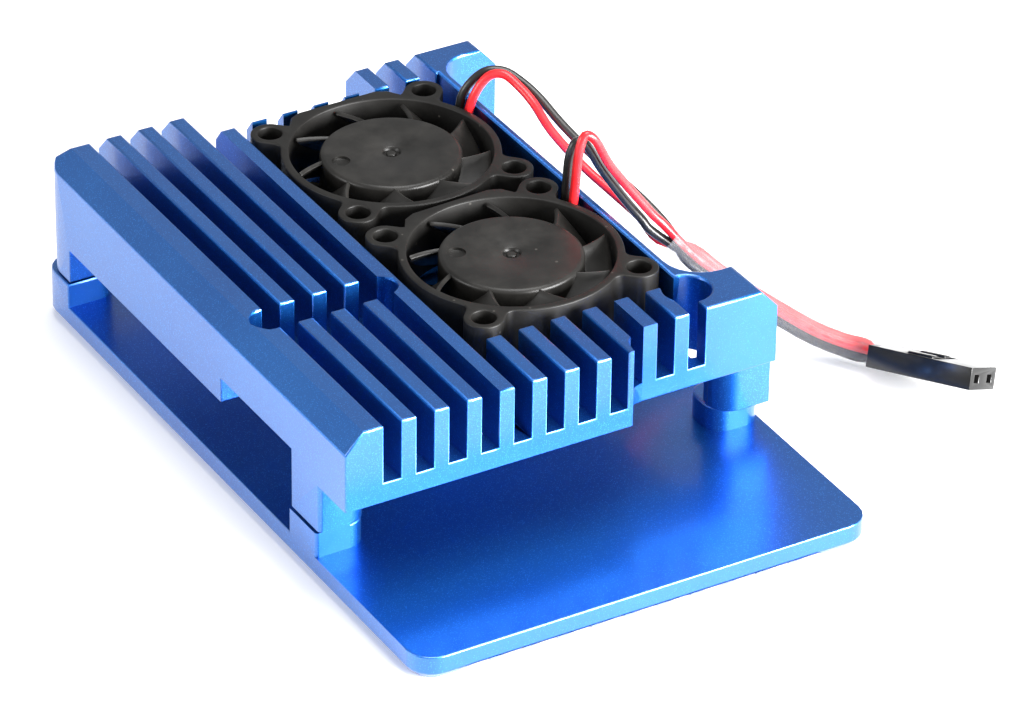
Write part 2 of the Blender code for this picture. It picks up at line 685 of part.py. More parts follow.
def fan_rotor(side, hub, phase, dimple_angle):
    """The hub cup with its blades, turning about the fan's axis."""
    bottom, top = HUB_SPAN
    round_in = HUB_ROUND
    edge = [(HUB_RADIUS - round_in + round_in * cos(radians(a)), top - round_in + round_in * sin(radians(a)))
            for a in (90, 45, 0)]
    profile = [(0, top - 0.1 * MM), (0.5 * MM, top - 0.1 * MM), (0.6 * MM, top - 0.3 * MM),
               (1.0 * MM, top - 0.3 * MM), (1.15 * MM, top)]
    profile += edge
    profile += [(HUB_RADIUS, bottom), (HUB_RADIUS - HUB_WALL, bottom), (HUB_RADIUS - HUB_WALL, top - HUB_CAP),
                (0, top - HUB_CAP)]
    rotor = turned(f"{side}_fan_rotor", profile, (0, 0, 0), 36)
    blades = group("blades", [blade_mesh(phase + index * 360 / BLADE_COUNT) for index in range(BLADE_COUNT)])
    angle = radians(dimple_angle)
    out, radius, depth = DIMPLE
    dimple = rod("dimple", (out * cos(angle), out * sin(angle)), radius, top - depth, top + MM, 12)
    join(rotor, blades)
    cut(rotor, dimple)
    for thing in (blades, dimple):
        thing.matrix_world = Matrix.Translation(hub.location) @ thing.matrix_world
    part(rotor, BLACK, hub)


def stator_core(side, hub):
    """A laminated cross with a curved shoe on each arm."""
    shoe_in, shoe_out, half_angle = SHOE
    outline = []
    lean = atan2(ARM_HALF, shoe_in)
    for index in range(4):
        middle = 90 * index
        local = [(CORE_RADII[0] + 0.5 * MM, -ARM_HALF), (shoe_in * cos(lean), -ARM_HALF)]
        local += arc((0, 0), shoe_in + 0.1 * MM, -half_angle, -half_angle, 1)[:1]
        local += arc((0, 0), shoe_out, -half_angle, half_angle, 4)
        local += arc((0, 0), shoe_in + 0.1 * MM, half_angle, half_angle, 1)[:1]
        local += [(shoe_in * cos(lean), ARM_HALF), (CORE_RADII[0] + 0.5 * MM, ARM_HALF)]
        turn = radians(middle)
        outline += [(x * cos(turn) - y * sin(turn), x * sin(turn) + y * cos(turn)) for x, y in local]
    hole = arc((0, 0), CORE_RADII[0], 360, 22.5, 15)
    core = prism(f"{side}_stator_core", [outline, hole], *CORE_SPAN)
    part(core, CORE, hub)


def stator_coil(side, name, angle, hub):
    """One winding around an arm of the core."""
    start, end, half = COIL
    low, high = CORE_SPAN
    coil = box(f"{side}_{name}", (start, -half, low - COIL_BELOW), (end, half, high + COIL_ABOVE))
    slot = box("coil_slot", (start - MM, -ARM_HALF - GAP, low - GAP),
               (end + MM, ARM_HALF + GAP, high + 0.25 * MM))
    cut(coil, slot)
    for thing in (coil, slot):
        thing.matrix_world = Matrix.Rotation(radians(angle), 4, "Z")
    slot.matrix_world = hub.matrix_world @ slot.matrix_world
    part(coil, COPPER, hub)


def fan(side):
    """One fan, its parts parented to an empty on its axis; the frame is turned as the fan was stuck down."""
    centre, height, twist, phase, dimple_angle = FANS[side]
    hub = bpy.data.objects.new(f"{side}_fan_axis", None)
    hub.location = (*centre, height)
    PARTS.objects.link(hub)
    seat = bpy.data.objects.new(f"{side}_fan_seat", None)
    seat.location = hub.location
    seat.rotation_euler.z = radians(twist)
    PARTS.objects.link(seat)
    bpy.context.view_layer.update()
    fan_frame(side, seat)
    fan_rotor(side, hub, phase, dimple_angle)
    inner, outer, low, high = MAGNET
    part(ring(f"{side}_magnet_ring", (inner, outer), (low, high), (0, 0, 0)), MAGNETIC, hub)
    radius, low, high = SHAFT
    shaft_profile = [(radius, high), (radius, low), (0, low), (0, high)]
    part(turned(f"{side}_shaft", shaft_profile, (0, 0, 0), 12), STEEL, hub)
    inner, outer, low, high = SLEEVE
    part(ring(f"{side}_bearing_sleeve", (inner, outer), (low, high), (0, 0, 0), 16), BRONZE, seat)
    part(ring(f"{side}_motor_board", BOARD_RADII, BOARD_SPAN, (0, 0, 0)), LAMINATE, seat)
    stator_core(side, seat)
    for index in range(4):
        stator_coil(side, f"stator_coil_{index + 1}", 90 * index, seat)
    tape_bottom = -height + POCKET_FLOOR + GAP
    part(rod(f"{side}_fan_tape", (0, 0), TAPE_RADIUS, tape_bottom, -GAP, 24), ADHESIVE, seat)


# Plug on the leads.

def plug_frame():
    """The housing's own axes: along its length, across its ways, and up."""
    along = Vector(PLUG_AXES[0]).normalized()
    across = Vector(PLUG_AXES[1])
    across = (across - along * across.dot(along)).normalized()
    turn = Matrix((along, across, along.cross(across))).transposed().to_4x4()
    return Matrix.Translation(Vector(PLUG_CORNER) * MM) @ turn


def plug():
    """The two-way housing and a crimp contact in each way."""
    length, _, height = PLUG_SIZE
    place = plug_frame()
    housing = box("plug_housing", (0, 0, 0), PLUG_SIZE)
    back, front, cavity_half = PLUG_CAVITY
    axis = height / 2
    cavities = []
    mouths = []
    for index in range(2):
        middle = (index + 0.5) * PLUG_PITCH
        cavities.append(box("cavity", (back, middle - cavity_half, axis - cavity_half),
                            (length - front, middle + cavity_half, axis + cavity_half)))
        mouths.append(box("mouth", (length - 2 * MM, middle - PLUG_MOUTH, axis - PLUG_MOUTH),
                          (length + MM, middle + PLUG_MOUTH, axis + PLUG_MOUTH)))
    tools = [group("plug_cavities", cavities), group("plug_mouths", mouths)]
    cut(housing, *tools)
    for thing in (housing, *tools):
        thing.matrix_world = place
    part(housing, HOUSING)
    for index, name in enumerate(("near", "far")):
        middle = (index + 0.5) * PLUG_PITCH
        start = back + GAP
        contact = box(f"plug_contact_{name}", (start, middle - CRIMP_HALF, axis - CRIMP_HALF),
                      (start + CRIMP_LENGTH, middle + CRIMP_HALF, axis + CRIMP_HALF))
        contact.matrix_world = place
        part(contact, TINNED)


base_plate()
heatsink_shell()
case_screws()
for fan_side in FANS:
    fan(fan_side)
for wire_name, wire_route in LEADS.items():
    tube(wire_name, wire_route, WIRE_RADIUS, RED_SHEATH if "red" in wire_name else BLACK_SHEATH)
tube("shrink_sleeve", SHRINK_ROUTE, SHRINK_RADIUS, CLEAR)
plug()
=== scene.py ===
"""Finished look of a two-part heatsink case with twin cooling fans for a small single board computer.

X runs along the case towards its open connector end, Y across it towards the pin-header side and Z up.
Lengths are in metres.
"""

import json
import logging
from dataclasses import dataclass, field
from enum import Enum
from math import atan2, cos, degrees, pi, radians, sin, sqrt

import bmesh
import bpy
from mathutils import Matrix, Vector

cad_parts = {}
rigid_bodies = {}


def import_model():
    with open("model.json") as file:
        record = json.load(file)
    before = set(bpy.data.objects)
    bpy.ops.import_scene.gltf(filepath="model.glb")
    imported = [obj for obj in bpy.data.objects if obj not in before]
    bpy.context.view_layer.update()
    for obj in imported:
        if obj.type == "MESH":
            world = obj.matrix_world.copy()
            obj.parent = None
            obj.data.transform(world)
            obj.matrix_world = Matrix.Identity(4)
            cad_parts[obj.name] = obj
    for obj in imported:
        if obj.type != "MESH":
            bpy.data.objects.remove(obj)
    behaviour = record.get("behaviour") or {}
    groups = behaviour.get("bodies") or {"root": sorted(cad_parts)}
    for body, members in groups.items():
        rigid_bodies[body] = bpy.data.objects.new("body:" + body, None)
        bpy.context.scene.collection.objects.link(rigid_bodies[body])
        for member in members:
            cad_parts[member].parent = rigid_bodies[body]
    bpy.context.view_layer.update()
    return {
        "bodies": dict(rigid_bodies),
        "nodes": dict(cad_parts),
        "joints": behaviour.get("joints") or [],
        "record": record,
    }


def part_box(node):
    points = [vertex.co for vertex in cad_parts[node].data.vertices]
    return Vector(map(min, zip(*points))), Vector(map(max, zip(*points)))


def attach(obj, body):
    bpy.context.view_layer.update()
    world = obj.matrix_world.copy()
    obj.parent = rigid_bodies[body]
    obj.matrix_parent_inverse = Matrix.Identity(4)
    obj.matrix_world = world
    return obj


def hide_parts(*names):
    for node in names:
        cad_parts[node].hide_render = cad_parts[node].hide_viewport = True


LOG = logging.getLogger("heatsink_case")
MM = 0.001

Point = tuple[float, float, float]
Flat = tuple[float, float]
Colour = tuple[float, float, float]


class Body(Enum):
    """The rigid bodies of the case."""

    CASE = "case"
    REAR = "rear_rotor"
    FRONT = "front_rotor"


class Surface(Enum):
    """How a finish scatters light."""

    METAL = 1.0
    PLASTIC = 0.0


# Shader node groups shared by the finishes.


class Wiring:
    """Short helpers for laying out one shader node tree."""

    def __init__(self, tree: bpy.types.NodeTree) -> None:
        """Keeps the tree.

        Args:
            tree: The material's or the group's node tree.
        """
        self.tree = tree

    def node(self, kind: str, **values: object) -> bpy.types.Node:
        """Adds a node.

        Args:
            kind: The node's type name.
            values: Properties of the node, or its inputs' values under their names with underscores.

        Returns:
            The new node.
        """
        made = self.tree.nodes.new(kind)
        for name, value in values.items():
            label = name.replace("_", " ")
            if hasattr(made, name):
                setattr(made, name, value)
            else:
                made.inputs[label].default_value = value
        return made

    def link(self, out: bpy.types.NodeSocket, into: bpy.types.NodeSocket) -> None:
        """Joins two sockets.

        Args:
            out: The socket that gives the value.
            into: The socket that takes it.
        """
        self.tree.links.new(out, into)


def group_tree(
    name: str, inputs: dict[str, float], outputs: tuple[str, ...]
) -> tuple[bpy.types.NodeTree, Wiring]:
    """Starts a shader group with named float sockets.

    Args:
        name: The group's name.
        inputs: Each input's name and starting value.
        outputs: The outputs' names.

    Returns:
        The group's tree and its wiring helper.
    """
    tree = bpy.data.node_groups.new(name, "ShaderNodeTree")
    for label, value in inputs.items():
        socket = tree.interface.new_socket(label, in_out="INPUT", socket_type="NodeSocketFloat")
        socket.default_value = value
    for label in outputs:
        tree.interface.new_socket(label, in_out="OUTPUT", socket_type="NodeSocketFloat")
    return tree, Wiring(tree)


def grain_group() -> bpy.types.NodeTree:
    """A fine grain with a slow drift over the surface.

    Returns:
        The group: inputs Scale and Drift Scale, outputs Height and Drift.
    """
    tree, wiring = group_tree("fine_grain", {"Scale": 9000, "Drift Scale": 60}, ("Height", "Drift"))
    ends = wiring.node("NodeGroupInput"), wiring.node("NodeGroupOutput")
    place = wiring.node("ShaderNodeTexCoord")
    fine = wiring.node("ShaderNodeTexNoise", Detail=2.0, Roughness=0.6)
    slow = wiring.node("ShaderNodeTexNoise", Detail=3.0, Roughness=0.55)
    for noise, label, out in ((fine, "Scale", "Height"), (slow, "Drift Scale", "Drift")):
        wiring.link(place.outputs["Object"], noise.inputs["Vector"])
        wiring.link(ends[0].outputs[label], noise.inputs["Scale"])
        wiring.link(noise.outputs["Fac"], ends[1].inputs[out])
    return tree


def speck_group() -> bpy.types.NodeTree:
    """Scattered small specks, such as painted glints or settled dust.

    Returns:
        The group: inputs Scale, Share and Size, output Mask.
    """
    tree, wiring = group_tree("specks", {"Scale": 5000, "Share": 0.05, "Size": 0.35}, ("Mask",))
    ends = wiring.node("NodeGroupInput"), wiring.node("NodeGroupOutput")
    place = wiring.node("ShaderNodeTexCoord")
    cells = wiring.node("ShaderNodeTexVoronoi")
    wiring.link(place.outputs["Object"], cells.inputs["Vector"])
    wiring.link(ends[0].outputs["Scale"], cells.inputs["Scale"])
    parts = wiring.node("ShaderNodeSeparateColor")
    wiring.link(cells.outputs["Color"], parts.inputs["Color"])
    chosen = wiring.node("ShaderNodeMath", operation="LESS_THAN")
    wiring.link(parts.outputs["Red"], chosen.inputs[0])
    wiring.link(ends[0].outputs["Share"], chosen.inputs[1])
    near = wiring.node("ShaderNodeMath", operation="LESS_THAN")
    wiring.link(cells.outputs["Distance"], near.inputs[0])
    wiring.link(ends[0].outputs["Size"], near.inputs[1])
    both = wiring.node("ShaderNodeMath", operation="MULTIPLY")
    wiring.link(chosen.outputs[0], both.inputs[0])
    wiring.link(near.outputs[0], both.inputs[1])
    wiring.link(both.outputs[0], ends[1].inputs["Mask"])
    return tree


@dataclass(frozen=True)
class Finish:
    """One finish: two tones that drift into each other, a fine grain and specks, which are painted glints
    on blasted metal and dust or pores on the others.
    """

    name: str
    slot: str
    tone: Colour
    other_tone: Colour
    rough: float
    surface: Surface = Surface.PLASTIC
    rough_drift: float = 0.08
    grain_scale: float = 7000
    drift_scale: float = 90
    bump: float = 0.15
    bump_depth: float = 0.02 * MM
    speck_tone: Colour = (0.2, 0.2, 0.2)
    speck_scale: float = 5000
    speck_share: float = 0.0
    speck_size: float = 0.35
    coat: float = 0.0
    coat_ior: float = 1.5
    alpha: float = 1.0
    ior: float = 1.5

    def build(self, groups: dict[str, bpy.types.NodeTree]) -> bpy.types.Material:
        """Makes the material.

        Args:
            groups: The shared shader groups under their short names.

        Returns:
            The node-based material.
        """
        material = bpy.data.materials.new(self.name)
        material.use_nodes = True
        wiring = Wiring(material.node_tree)
        shader = material.node_tree.nodes["Principled BSDF"]
        shader.inputs["Metallic"].default_value = self.surface.value
        shader.inputs["Coat Weight"].default_value = self.coat
        shader.inputs["Coat Roughness"].default_value = 0.2
        shader.inputs["Coat IOR"].default_value = self.coat_ior
        shader.inputs["Alpha"].default_value = self.alpha
        shader.inputs["IOR"].default_value = self.ior
        grain = wiring.node("ShaderNodeGroup", node_tree=groups["grain"])
        grain.inputs["Scale"].default_value = self.grain_scale
        grain.inputs["Drift Scale"].default_value = self.drift_scale
        tones = wiring.node("ShaderNodeMix", data_type="RGBA")
        tones.inputs["A"].default_value = (*self.tone, 1)
        tones.inputs["B"].default_value = (*self.other_tone, 1)
        spread = wiring.node("ShaderNodeMapRange", From_Min=0.35, From_Max=0.65)
        wiring.link(grain.outputs["Drift"], spread.inputs["Value"])
        wiring.link(spread.outputs["Result"], tones.inputs["Factor"])
        colour = tones.outputs["Result"]
        if self.speck_share:
            specks = wiring.node("ShaderNodeGroup", node_tree=groups["specks"])
            specks.inputs["Scale"].default_value = self.speck_scale
            specks.inputs["Share"].default_value = self.speck_share
            specks.inputs["Size"].default_value = self.speck_size
            dusted = wiring.node("ShaderNodeMix", data_type="RGBA")
            dusted.inputs["B"].default_value = (*self.speck_tone, 1)
            wiring.link(colour, dusted.inputs["A"])
            wiring.link(specks.outputs["Mask"], dusted.inputs["Factor"])
            colour = dusted.outputs["Result"]
        wiring.link(colour, shader.inputs["Base Color"])
        rough = wiring.node(
            "ShaderNodeMapRange", To_Min=self.rough - self.rough_drift, To_Max=self.rough + self.rough_drift
        )
        wiring.link(grain.outputs["Drift"], rough.inputs["Value"])
        wiring.link(rough.outputs["Result"], shader.inputs["Roughness"])
        bump = wiring.node("ShaderNodeBump", Strength=self.bump, Distance=self.bump_depth)
        wiring.link(grain.outputs["Height"], bump.inputs["Height"])
        wiring.link(bump.outputs["Normal"], shader.inputs["Normal"])
        return material


# The lighter specks are painted glints, for the sparkle of the blasted grain.
ANODISED = Finish(
    "blue_anodised_blasted", "blue_anodised", (0.006, 0.118, 0.46), (0.010, 0.145, 0.51), 0.42,
    Surface.METAL, rough_drift=0.03, grain_scale=5200, drift_scale=45, bump=0.5, bump_depth=0.03 * MM,
    speck_tone=(0.03, 0.26, 0.80), speck_scale=8500, speck_share=0.22, speck_size=0.42,
    coat=0.8, coat_ior=1.7,
)
# A lighter copy of the anodised finish for the bevelled edges: a painted highlight where the edges catch
# the light.
EDGE_HIGHLIGHT = Finish(
    "blue_anodised_painted_highlight", "blue_anodised", (0.10, 0.38, 0.85), (0.16, 0.45, 0.9), 0.3, Surface.METAL,
    rough_drift=0.04, grain_scale=3000, drift_scale=200, bump=0.05, coat=1.0, coat_ior=1.7,
)
MOULDED = Finish(
    "black_moulded", "fan_plastic", (0.006, 0.0055, 0.005), (0.011, 0.0105, 0.0095), 0.46,
    rough_drift=0.07, grain_scale=3500, drift_scale=260, bump=0.25, bump_depth=0.02 * MM,
    speck_tone=(0.05, 0.047, 0.042), speck_scale=1500, speck_share=0.02, speck_size=0.22, ior=1.36,
)
HUB = Finish(
    "black_hub", "fan_plastic", (0.007, 0.0066, 0.006), (0.017, 0.016, 0.0145), 0.38,
    rough_drift=0.07, grain_scale=2600, drift_scale=330, bump=0.15, bump_depth=0.02 * MM,
    speck_tone=(0.06, 0.056, 0.05), speck_scale=1200, speck_share=0.015, speck_size=0.2, ior=1.42,
)
STEEL = Finish(
    "screw_steel", "screw_steel", (0.42, 0.42, 0.44), (0.55, 0.55, 0.56), 0.3, Surface.METAL,
    drift_scale=500,
)
FERRITE = Finish(
    "bonded_ferrite", "bonded_magnet", (0.04, 0.036, 0.03), (0.065, 0.06, 0.055), 0.65, bump=0.4,
)
BRONZE = Finish(
    "sintered_bronze", "sintered_bronze", (0.45, 0.27, 0.12), (0.6, 0.4, 0.2), 0.45, Surface.METAL,
    bump=0.4, speck_tone=(0.2, 0.12, 0.06), speck_share=0.15,
)
LAMINATIONS = Finish(
    "electrical_steel", "electrical_steel", (0.28, 0.28, 0.29), (0.4, 0.4, 0.41), 0.4, Surface.METAL,
    drift_scale=900,
)
COPPER = Finish(
    "enamelled_copper", "enamelled_copper", (0.55, 0.17, 0.06), (0.75, 0.3, 0.12), 0.35, Surface.METAL,
    grain_scale=2500, drift_scale=1500, bump=0.6, bump_depth=0.05 * MM,
)
LAMINATE = Finish(
    "circuit_laminate", "circuit_laminate", (0.02, 0.14, 0.04), (0.04, 0.2, 0.07), 0.45, drift_scale=800,
)
TAPE = Finish(
    "foam_tape", "foam_tape", (0.05, 0.05, 0.05), (0.09, 0.09, 0.09), 0.9, bump=0.7, grain_scale=3000,
)
RED_WIRE = Finish(
    "red_insulation", "red_sheath", (0.80, 0.012, 0.018), (0.88, 0.022, 0.028), 0.32,
    drift_scale=300, grain_scale=2500, bump=0.06, coat=0.25,
)
BLACK_WIRE = Finish(
    "black_insulation", "black_sheath", (0.012, 0.012, 0.012), (0.022, 0.021, 0.02), 0.34,
    drift_scale=300, grain_scale=2500, bump=0.06, coat=0.25,
)
SHRINK = Finish(
    "clear_shrink", "clear_shrink", (0.26, 0.26, 0.27), (0.36, 0.36, 0.37), 0.2,
    drift_scale=250, grain_scale=900, bump=0.12, bump_depth=0.05 * MM, alpha=0.18,
)
PLUG_BLACK = Finish(
    "black_plug", "plug_plastic", (0.005, 0.005, 0.005), (0.010, 0.010, 0.010), 0.2,
    rough_drift=0.04, drift_scale=400, grain_scale=3500, bump=0.12,
)
TIN = Finish("tinned_contact", "tinned_contact", (0.55, 0.55, 0.53), (0.7, 0.7, 0.68), 0.28, Surface.METAL)


class Paints:
    """Builds each finish once, on first use."""

    def __init__(self) -> None:
        """Makes the shared groups."""
        self.groups = {"grain": grain_group(), "specks": speck_group()}
        self.made: dict[str, bpy.types.Material] = {}

    def get(self, finish: Finish) -> bpy.types.Material:
        """Gives a finish's material.

        Args:
            finish: The finish wanted.

        Returns:
            Its material.
        """
        if finish.name not in self.made:
            self.made[finish.name] = finish.build(self.groups)
        return self.made[finish.name]

    def dress(self, piece: bpy.types.Object, *finishes: Finish) -> None:
        """Gives a piece its materials.

        Args:
            piece: The object to dress.
            finishes: The finishes of its material slots, in order.
        """
        piece.data.materials.clear()
        for finish in finishes:
            piece.data.materials.append(self.get(finish))

    def redress(self, node: bpy.types.Object, finish: Finish) -> None:
        """Puts a finish on a frame node that stays as it is.

        Args:
            node: The node's object.
            finish: The finish for all of it.
        """
        node.data.materials.clear()
        node.data.materials.append(self.get(finish))


# Mesh helpers.


def show(name: str, mesh: bpy.types.Mesh) -> bpy.types.Object:
    """Adds a mesh to the scene as an object at the origin.

    Args:
        name: The object's name.
        mesh: Its mesh.

    Returns:
        The object.
    """
    piece = bpy.data.objects.new(name, mesh)
    bpy.context.scene.collection.objects.link(piece)
    return piece


def from_shape(name: str, shape: bmesh.types.BMesh) -> bpy.types.Object:
    """Turns a bmesh into an object at the origin and frees it.

    Args:
        name: The object's name.
        shape: The bmesh.

    Returns:
        The object.
    """
    mesh = bpy.data.meshes.new(name)
    shape.to_mesh(mesh)
    shape.free()
    return show(name, mesh)


def drawn(name: str, paths: list[list], closed: bool) -> bpy.types.Object:
    """Draws a curve through points: flat closed loops, or open lines in space.

    Args:
        name: The object's name.
        paths: The points of each loop or line.
        closed: Whether they are flat loops.

    Returns:
        The curve's object.
    """
    curve = bpy.data.curves.new(name, "CURVE")
    curve.dimensions = "2D" if closed else "3D"
    for path in paths:
        spline = curve.splines.new("POLY")
        spline.points.add(len(path) - 1)
        for slot, spot in zip(spline.points, path):
            slot.co = (*spot, 0, 1) if closed else (*spot, 1)
        spline.use_cyclic_u = closed
        spline.use_smooth = True
    piece = bpy.data.objects.new(name, curve)
    bpy.context.scene.collection.objects.link(piece)
    return piece


def baked(piece: bpy.types.Object) -> bpy.types.Object:
    """Turns an object with modifiers, or a curve, into a plain mesh object at the origin.

    Args:
        piece: The object, which is removed.

    Returns:
        The plain object under the same name.
    """
    bpy.context.view_layer.update()
    name = piece.name
    mesh = bpy.data.meshes.new_from_object(piece.evaluated_get(bpy.context.evaluated_depsgraph_get()))
    mesh.transform(piece.matrix_world)
    bpy.data.objects.remove(piece, do_unlink=True)
    mesh.name = name
    return show(name, mesh)


def smooth(piece: bpy.types.Object, angle: float = 32) -> None:
    """Blends the faces that meet at less than an angle.

    Args:
        piece: The object.
        angle: The angle in degrees.
    """
    piece.data.shade_smooth()
    piece.data.set_sharp_from_angle(angle=radians(angle))


def arc(centre: Flat, radius: float, start: float, end: float, steps: int) -> list[Flat]:
    """Points along a circular arc.

    Args:
        centre: The arc's centre.
        radius: Its radius.
        start: Its first angle, in degrees.
        end: Its last angle, in degrees.
        steps: The number of stretches between its points.

    Returns:
        The points, both ends included.
    """
    angles = [radians(start + (end - start) * step / steps) for step in range(steps + 1)]
    return [(centre[0] + radius * cos(a), centre[1] + radius * sin(a)) for a in angles]


def circle(centre: Flat, radius: float, steps: int) -> list[Flat]:
    """A closed circle's points, each once.

    Args:
        centre: The circle's centre.
        radius: Its radius.
        steps: The number of its points.

    Returns:
        The points.
    """
    return arc(centre, radius, 0, 360, steps)[:-1]


def turn(points: list[Flat], angle: float) -> list[Flat]:
    """Turns flat points about the origin.

    Args:
        points: The points.
        angle: The turn, in degrees.

    Returns:
        The turned points.
    """
    c, s = cos(radians(angle)), sin(radians(angle))
    return [(x * c - y * s, x * s + y * c) for x, y in points]


def plate(name: str, loops: list[list[Flat]], bottom: float, top: float, edge: float) -> bpy.types.Object:
    """A flat plate with rounded edges, from an outline and the holes in it.

    Args:
        name: The object's name.
        loops: The outline first, then each hole.
        bottom: The height of its underside.
        top: The height of its top.
        edge: The radius of its edges.

    Returns:
        The plate as a plain mesh object.
    """
    flat = drawn(name, loops, closed=True)
    flat.data.fill_mode = "BOTH"
    flat.data.bevel_depth = edge
    flat.data.bevel_resolution = 2
    flat.data.offset = -edge
    flat.data.extrude = (top - bottom) / 2 - edge
    flat.location.z = (bottom + top) / 2
    piece = baked(flat)
    mend(piece.data)
    smooth(piece)
    return piece


def mend(mesh: bpy.types.Mesh) -> None:
    """Merges doubled vertices and points the faces outwards.

    Args:
        mesh: The mesh to mend.
    """
    shape = bmesh.new()
    shape.from_mesh(mesh)
    bmesh.ops.remove_doubles(shape, verts=shape.verts, dist=1e-6)
    bmesh.ops.recalc_face_normals(shape, faces=shape.faces)
    shape.to_mesh(mesh)
    shape.free()


def lathe(name: str, profile: list[Flat], steps: int) -> bpy.types.Object:
    """A profile of (radius, height) turned about the upright axis through the origin.

    Args:
        name: The object's name.
        profile: The profile; an end at radius 0 closes on the axis, and otherwise its ends are joined.
        steps: The number of facets round it.

    Returns:
        The turned object.
    """
    shape = bmesh.new()
    rings = []
    for radius, height in profile:
        if radius < 1e-9:
            rings.append([shape.verts.new((0, 0, height))] * steps)
        else:
            rings.append([shape.verts.new((*spot, height)) for spot in circle((0, 0), radius, steps)])
    pairs = list(zip(rings, rings[1:]))
    if profile[0][0] > 1e-9 and profile[-1][0] > 1e-9:
        pairs.append((rings[-1], rings[0]))
    for upper, lower in pairs:
        for index in range(steps):
            after = (index + 1) % steps
            corners = dict.fromkeys((upper[index], lower[index], lower[after], upper[after]))
            if len(corners) > 2:
                shape.faces.new(tuple(corners))
    bmesh.ops.recalc_face_normals(shape, faces=shape.faces)
    piece = from_shape(name, shape)
    smooth(piece)
    return piece


def block(name: str, low: Point, high: Point) -> bpy.types.Object:
    """A plain block between two corners, for joining or cutting.

    Args:
        name: The object's name.
        low: Its lowest corner.
        high: Its highest corner.

    Returns:
        The block.
    """
    shape = bmesh.new()
    middle = [(a + b) / 2 for a, b in zip(low, high)]
    size = [b - a for a, b in zip(low, high)]
    bmesh.ops.create_cube(shape, size=1, matrix=Matrix.LocRotScale(middle, None, size))
    return from_shape(name, shape)


def joined(name: str, pieces: list[bpy.types.Object]) -> bpy.types.Object:
    """Makes one object of several plain ones.

    Args:
        name: The new object's name.
        pieces: The objects, which are removed.

    Returns:
        The joined object.
    """
    shape = bmesh.new()
    for piece in pieces:
        shape.from_mesh(piece.data)
        bpy.data.objects.remove(piece, do_unlink=True)
    return from_shape(name, shape)


def combined(piece: bpy.types.Object, operation: str, tools: list[bpy.types.Object]) -> bpy.types.Object:
    """Applies exact Booleans and removes their tools.

    Args:
        piece: The object to change.
        operation: DIFFERENCE or UNION.
        tools: The objects to cut away or add.

    Returns:
        The plain result.
    """
    for tool in tools:
        step = piece.modifiers.new(tool.name, "BOOLEAN")
        step.operation = operation
        step.object = tool
    result = baked(piece)
    for tool in tools:
        bpy.data.objects.remove(tool, do_unlink=True)
    return result


def eased(piece: bpy.types.Object, width: float, segments: int = 2, angle: float = 32) -> bpy.types.Object:
    """Rounds the sharp edges of a plain object.

    Args:
        piece: The object.
        width: The bevel's width.
        segments: Its facets.
        angle: Edges sharper than this are rounded, in degrees.

    Returns:
        The plain result.
    """
    bevel = piece.modifiers.new("edges", "BEVEL")
    bevel.width = width
    bevel.segments = segments
    bevel.angle_limit = radians(angle)
    result = baked(piece)
    smooth(result, 40)
    return result


def placed(piece: bpy.types.Object, matrix: Matrix) -> bpy.types.Object:
    """Moves a plain object by moving its mesh, so that the object stays at the origin.

    Args:
        piece: The object.
        matrix: Where it goes.

    Returns:
        The same object.
    """
    piece.data.transform(matrix)
    piece.data.update()
    return piece


# Geometry Nodes trees for the pieces that repeat.


class RepeatTree:
    """A tree that copies one mesh round an axis or onto the corners of a rectangle."""

    def __init__(self, name: str, sizes: dict[str, tuple[str, float | int]]) -> None:
        """Makes the tree's sockets.

        Args:
            name: The tree's name.
            sizes: Each named input's socket type and starting value.
        """
        self.tree = bpy.data.node_groups.new(name, "GeometryNodeTree")
        self.tree.interface.new_socket("Geometry", in_out="INPUT", socket_type="NodeSocketGeometry")
        for label, (kind, value) in sizes.items():
            socket = self.tree.interface.new_socket(label, in_out="INPUT", socket_type=kind)
            socket.default_value = value
        self.tree.interface.new_socket("Finish", in_out="INPUT", socket_type="NodeSocketMaterial")
        self.tree.interface.new_socket("Geometry", in_out="OUTPUT", socket_type="NodeSocketGeometry")
        self.source = self.tree.nodes.new("NodeGroupInput")
        self.result = self.tree.nodes.new("NodeGroupOutput")
        self.wiring = Wiring(self.tree)

    def scatter(self, points: bpy.types.NodeSocket, rotation: bpy.types.NodeSocket | None = None) -> None:
        """Puts the mesh on points, realizes the copies and sets their finish.

        Args:
            points: The points to copy onto.
            rotation: Each copy's rotation, if it turns.
        """
        copies = self.wiring.node("GeometryNodeInstanceOnPoints")
        self.wiring.link(points, copies.inputs["Points"])
        self.wiring.link(self.source.outputs["Geometry"], copies.inputs["Instance"])
        if rotation:
            self.wiring.link(rotation, copies.inputs["Rotation"])
        real = self.wiring.node("GeometryNodeRealizeInstances")
        paint = self.wiring.node("GeometryNodeSetMaterial")
        self.wiring.link(copies.outputs["Instances"], real.inputs["Geometry"])
        self.wiring.link(real.outputs["Geometry"], paint.inputs["Geometry"])
        self.wiring.link(self.source.outputs["Finish"], paint.inputs["Material"])
        self.wiring.link(paint.outputs["Geometry"], self.result.inputs["Geometry"])

    def run(self, piece: bpy.types.Object, values: dict[str, object]) -> bpy.types.Object:
        """Runs the tree on an object and keeps the plain result.

        Args:
            piece: The object whose mesh is copied.
            values: A value for each named input.

        Returns:
            The plain object.
        """
        modifier = piece.modifiers.new(self.tree.name, "NODES")
        modifier.node_group = self.tree
        for item in self.tree.interface.items_tree:
            if item.in_out == "INPUT" and item.name in values:
                modifier[item.identifier] = values[item.name]
        return baked(piece)


